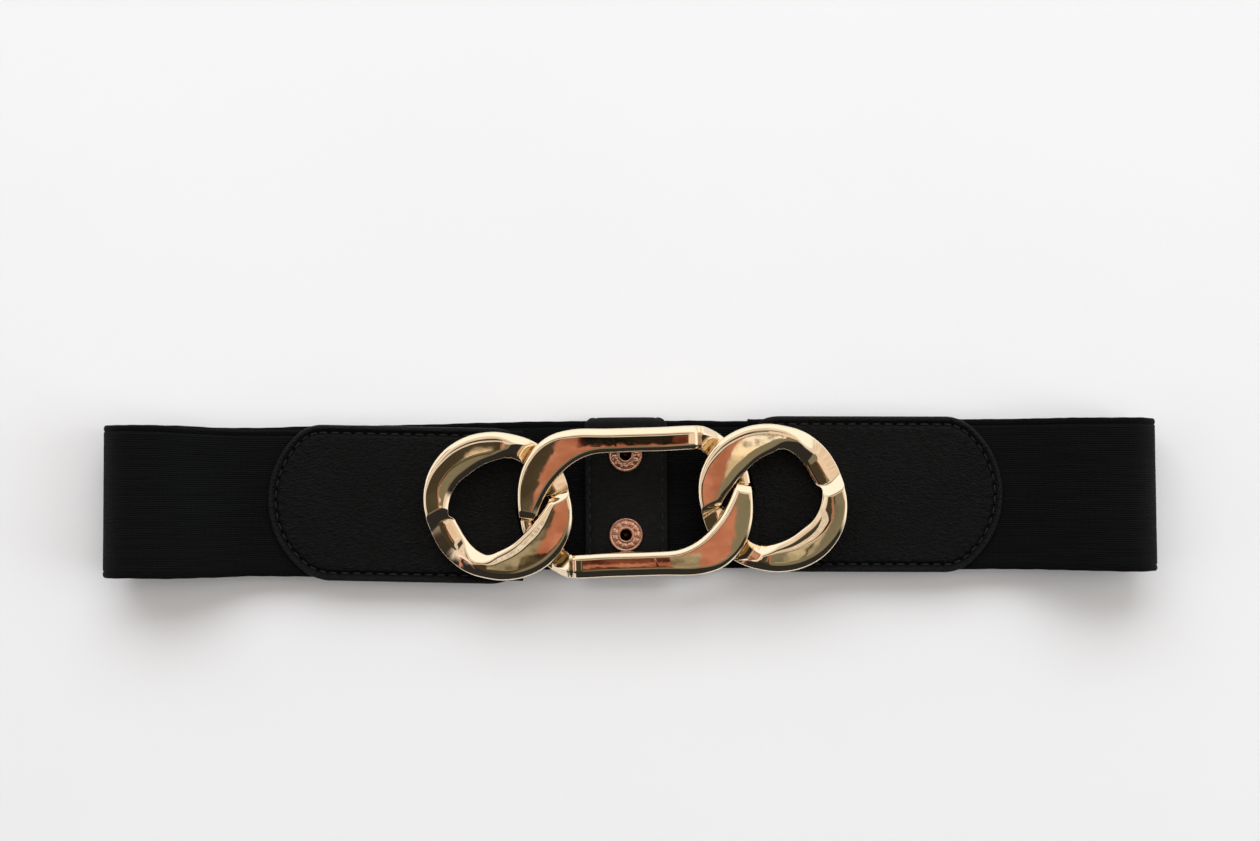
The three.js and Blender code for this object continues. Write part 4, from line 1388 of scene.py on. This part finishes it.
# What the polished faces see above them. Places are directions: x and y for one unit up. Each
# shape has two level edges, low and high, and its left and right ends on each; soft: how soft its
# edges are; scale: that of the noise between its two colours, where it isn't the ceiling's. The
# colours are linear
CEILING = {"dim": (0.06, 0.048, 0.03), "pale": (0.23, 0.21, 0.15), "scale": 45.0}
CEILING_SHAPES = table(
    "low high left right soft dark light scale",
    (0.055, 0.32, (-0.7, -0.7), (0.7, 0.7), 0.006,  # far window
     (0.5, 0.43, 0.38), (1.0, 0.93, 0.86)),
    (-0.03, 0.5, (0.092, 0.1), (0.9, 0.9), 0.004,  # side window
     (0.8, 0.63, 0.52), (0.98, 0.82, 0.7)),
    (-0.13, -0.06, (-0.112, -0.112), (-0.05, -0.05), 0.004,  # left low
     (0.1, 0.085, 0.055), (0.42, 0.37, 0.26)),
    (-0.029, -0.015, (-0.098, -0.09), (-0.084, -0.078), 0.003,  # left lamp
     (0.45, 0.36, 0.24), (0.85, 0.68, 0.5)),
    (-0.034, -0.004, (0.05, 0.05), (0.079, 0.088), 0.0025,  # right lamp
     (0.62, 0.5, 0.33), (1.15, 0.97, 0.73)),
    (-0.13, -0.03, (0.078, 0.1), (0.088, 0.1205), 0.002,  # right glow
     (0.36, 0.31, 0.21), (0.72, 0.64, 0.46)),
    (-0.1, -0.038, (0.088, 0.1175), (0.0905, 0.1205), 0.0012,  # right stripe
     (0.02, 0.016, 0.01), (0.14, 0.11, 0.07)),
    (-0.016, 0.004, (0.064, 0.056), (0.1, 0.09), 0.0025,  # right squiggle
     (0.14, 0.1, 0.065), (1.1, 1.02, 0.9), 190.0),
    (-0.13, -0.05, (-0.076, -0.0425), (0.057, 0.0605), 0.0012,  # trousers
     (0.4, 0.14, 0.085), (0.58, 0.24, 0.16)),
    (-0.051, 0.05, (-0.0565, -0.022), (0.05, 0.075), 0.0012,  # shirt
     (0.4, 0.15, 0.09), (0.58, 0.25, 0.175)),
    (-0.0812, -0.07, (-0.03, -0.03), (0.0232, 0.0232), 0.0008,  # belt line
     (0.04, 0.012, 0.008), (0.2, 0.065, 0.04)),
    (-0.13, -0.0846, (-0.06, -0.06), (0.0232, 0.0232), 0.001,  # low shade
     (0.04, 0.012, 0.008), (0.16, 0.05, 0.03)),
    (-0.13, -0.07, (-0.036, -0.036), (-0.028, -0.028), 0.001,  # bar side
     (0.03, 0.022, 0.014), (0.12, 0.09, 0.05)),
    (-0.13, -0.077, (-0.062, -0.062), (-0.03, -0.03), 0.001,  # corner
     (0.03, 0.022, 0.014), (0.12, 0.09, 0.05)),
    (-0.13, -0.0735, (0.0232, 0.0232), (0.0412, 0.0405), 0.001,  # sleeve
     (0.2, 0.16, 0.1), (0.5, 0.44, 0.31)),
    (-0.016, 0.05, (-0.031, -0.031), (0.036, 0.04), 0.0015,  # lens rim
     (0.05, 0.012, 0.008), (0.16, 0.05, 0.03)),
    (-0.0155, 0.05, (-0.0275, -0.028), (0.025, 0.028), 0.001,  # lens
     (0.006, 0.006, 0.005), (0.02, 0.015, 0.01)))
# The walls under it. Heights are the directions' Z; behind: from where to where, in Y, the wall
# at the lower edge turns into the one at the upper edge
WALL = {"bright": 1.18, "dark": 0.028, "warm": (1.0, 0.88, 0.79), "warm_dark": (0.72, 0.62, 0.55),
        "behind": (-0.5, -0.2), "foot": (0.03, 0.06), "upper": (0.5, 0.64), "top": (0.76, 0.86)}
DOORWAY = {"dark": (0.05, 0.02, 0.014), "light": (0.62, 0.32, 0.24),
           "foot": (0.38, 0.4), "top": (0.5, 0.53), "side": (-0.75, -0.6)}


def shape_mask(nodes, shape, x, y):
    """One inside a ceiling shape and none outside."""
    low, high, soft = shape["low"], shape["high"], shape["soft"]
    up = nodes.over(nodes.minus(y, low), high - low)
    masks = [nodes.rise(y, low - soft, low + soft), nodes.fall(y, high - soft, high + soft)]
    for ramp, (at_low, at_high) in ((nodes.rise, shape["left"]), (nodes.fall, shape["right"])):
        edge = nodes.plus(nodes.times(up, at_high - at_low), at_low)
        masks.append(ramp(nodes.minus(x, edge), -soft, soft))
    return nodes.times(*masks)


def studio():
    """A room as the polished links see it: a bright wall behind the belt's upper edge and at both
    ends, a dark one at its lower edge, and a dim ceiling with the warm shape of someone over it."""
    world = bpy.data.worlds.new("studio")
    bpy.context.scene.world = world
    world.use_nodes = True
    nodes = Nodes(world.node_tree)
    direction = nodes.add("ShaderNodeTexCoord").outputs["Generated"]
    x, y, z = nodes.split(direction)
    height = nodes.math("MAXIMUM", z, 0.02)
    ripple = nodes.minus(nodes.noise(direction, 30.0, 3.0), 0.5)
    over_x = nodes.plus(nodes.over(x, height), nodes.times(ripple, 0.005))
    over_y = nodes.plus(nodes.over(y, height), nodes.times(ripple, -0.0018))
    flat = nodes.math("SQRT", nodes.plus(nodes.times(x, x), nodes.times(y, y)))
    heading = nodes.over(y, nodes.math("MAXIMUM", flat, 0.001))
    behind = nodes.rise(heading, *WALL["behind"])
    bright, dark = grey(WALL["bright"]), grey(WALL["dark"])
    low_wall = nodes.mix(nodes.rise(z, *WALL["foot"]), bright, dark)
    low_wall = nodes.mix(behind, low_wall, bright)
    streaks = nodes.noise(nodes.stretched(direction, (3.0, 3.0, 16.0)), 1.5, 3.0)
    warm = nodes.mix(nodes.rise(streaks, 0.35, 0.65), colour(*WALL["warm_dark"]),
                     colour(*WALL["warm"]))
    high_wall = nodes.mix(behind, dark, warm)
    wall = nodes.mix(nodes.rise(z, *WALL["upper"]), low_wall, high_wall)
    doorway = nodes.times(nodes.rise(z, *DOORWAY["foot"]), nodes.fall(z, *DOORWAY["top"]),
                          nodes.fall(nodes.over(x, flat), *DOORWAY["side"]))
    patches = nodes.rise(nodes.noise(direction, 9.0, 3.0), 0.42, 0.58)
    wall = nodes.mix(doorway, wall, nodes.mix(patches, colour(*DOORWAY["dark"]),
                                              colour(*DOORWAY["light"])))
    blotch = nodes.noise(nodes.stretched(direction, (1.0, 2.2, 1.0)), 14.0, 3.0)
    side = nodes.rise(over_x, -0.09, 0.05, -0.25, 0.25)
    ceiling = nodes.mix(nodes.rise(nodes.plus(blotch, side), 0.3, 0.75),
                        colour(*CEILING["dim"]), colour(*CEILING["pale"]))
    stretched = nodes.stretched(direction, (1.0, 1.8, 1.0))
    for shape in CEILING_SHAPES:
        grain = nodes.noise(stretched, shape.get("scale", CEILING["scale"]), 3.0)
        tint = nodes.mix(nodes.rise(grain, 0.35, 0.65), colour(*shape["dark"]),
                         colour(*shape["light"]))
        ceiling = nodes.mix(shape_mask(nodes, shape, over_x, over_y), ceiling, tint)
    room = nodes.mix(nodes.rise(z, *WALL["top"]), wall, ceiling)
    shade = nodes.add("ShaderNodeBackground", {"Color": room, "Strength": 1.0})
    nodes.add("ShaderNodeOutputWorld", {"Surface": shade.outputs[0]})


def area_light(name, place, size, power):
    """A soft light aimed at the belt, that the polished faces don't reflect."""
    data = bpy.data.lights.new(name, "AREA")
    data.color = LIGHT_COLOUR
    data.shape = "RECTANGLE"
    data.size, data.size_y = size
    data.energy = power
    light = put_in_scene(name, data)
    light.location = place
    light.rotation_euler = (math.acos(place[2] / math.hypot(*place)), 0.0,
                            math.atan2(place[0], -place[1]))
    light.visible_glossy = False


def camera():
    data = bpy.data.cameras.new("camera")
    data.lens = CAMERA_LENS
    data.sensor_width = 36.0
    piece = put_in_scene("camera", data)
    piece.location = CAMERA_PLACE
    piece.rotation_euler = (0.0, 0.0, CAMERA_ROLL)
    bpy.context.scene.camera = piece


camera()
table_piece()
studio()
for light in LIGHTS:
    area_light(**light)
bpy.context.scene.view_settings.view_transform = "Standard"

for holed in (elastic_piece(), keeper_piece()):
    cut_snap_holes(holed)
for snap_name in SNAPS:
    snap_piece(snap_name)
for tab_name in ("tab_left", "tab_right"):
    tab_piece(tab_name)
ring_piece("ring_left", -RING_OFFSET, 0.0)
ring_piece("ring_right", RING_OFFSET, math.pi)
link_piece("link_middle", middle_shell())
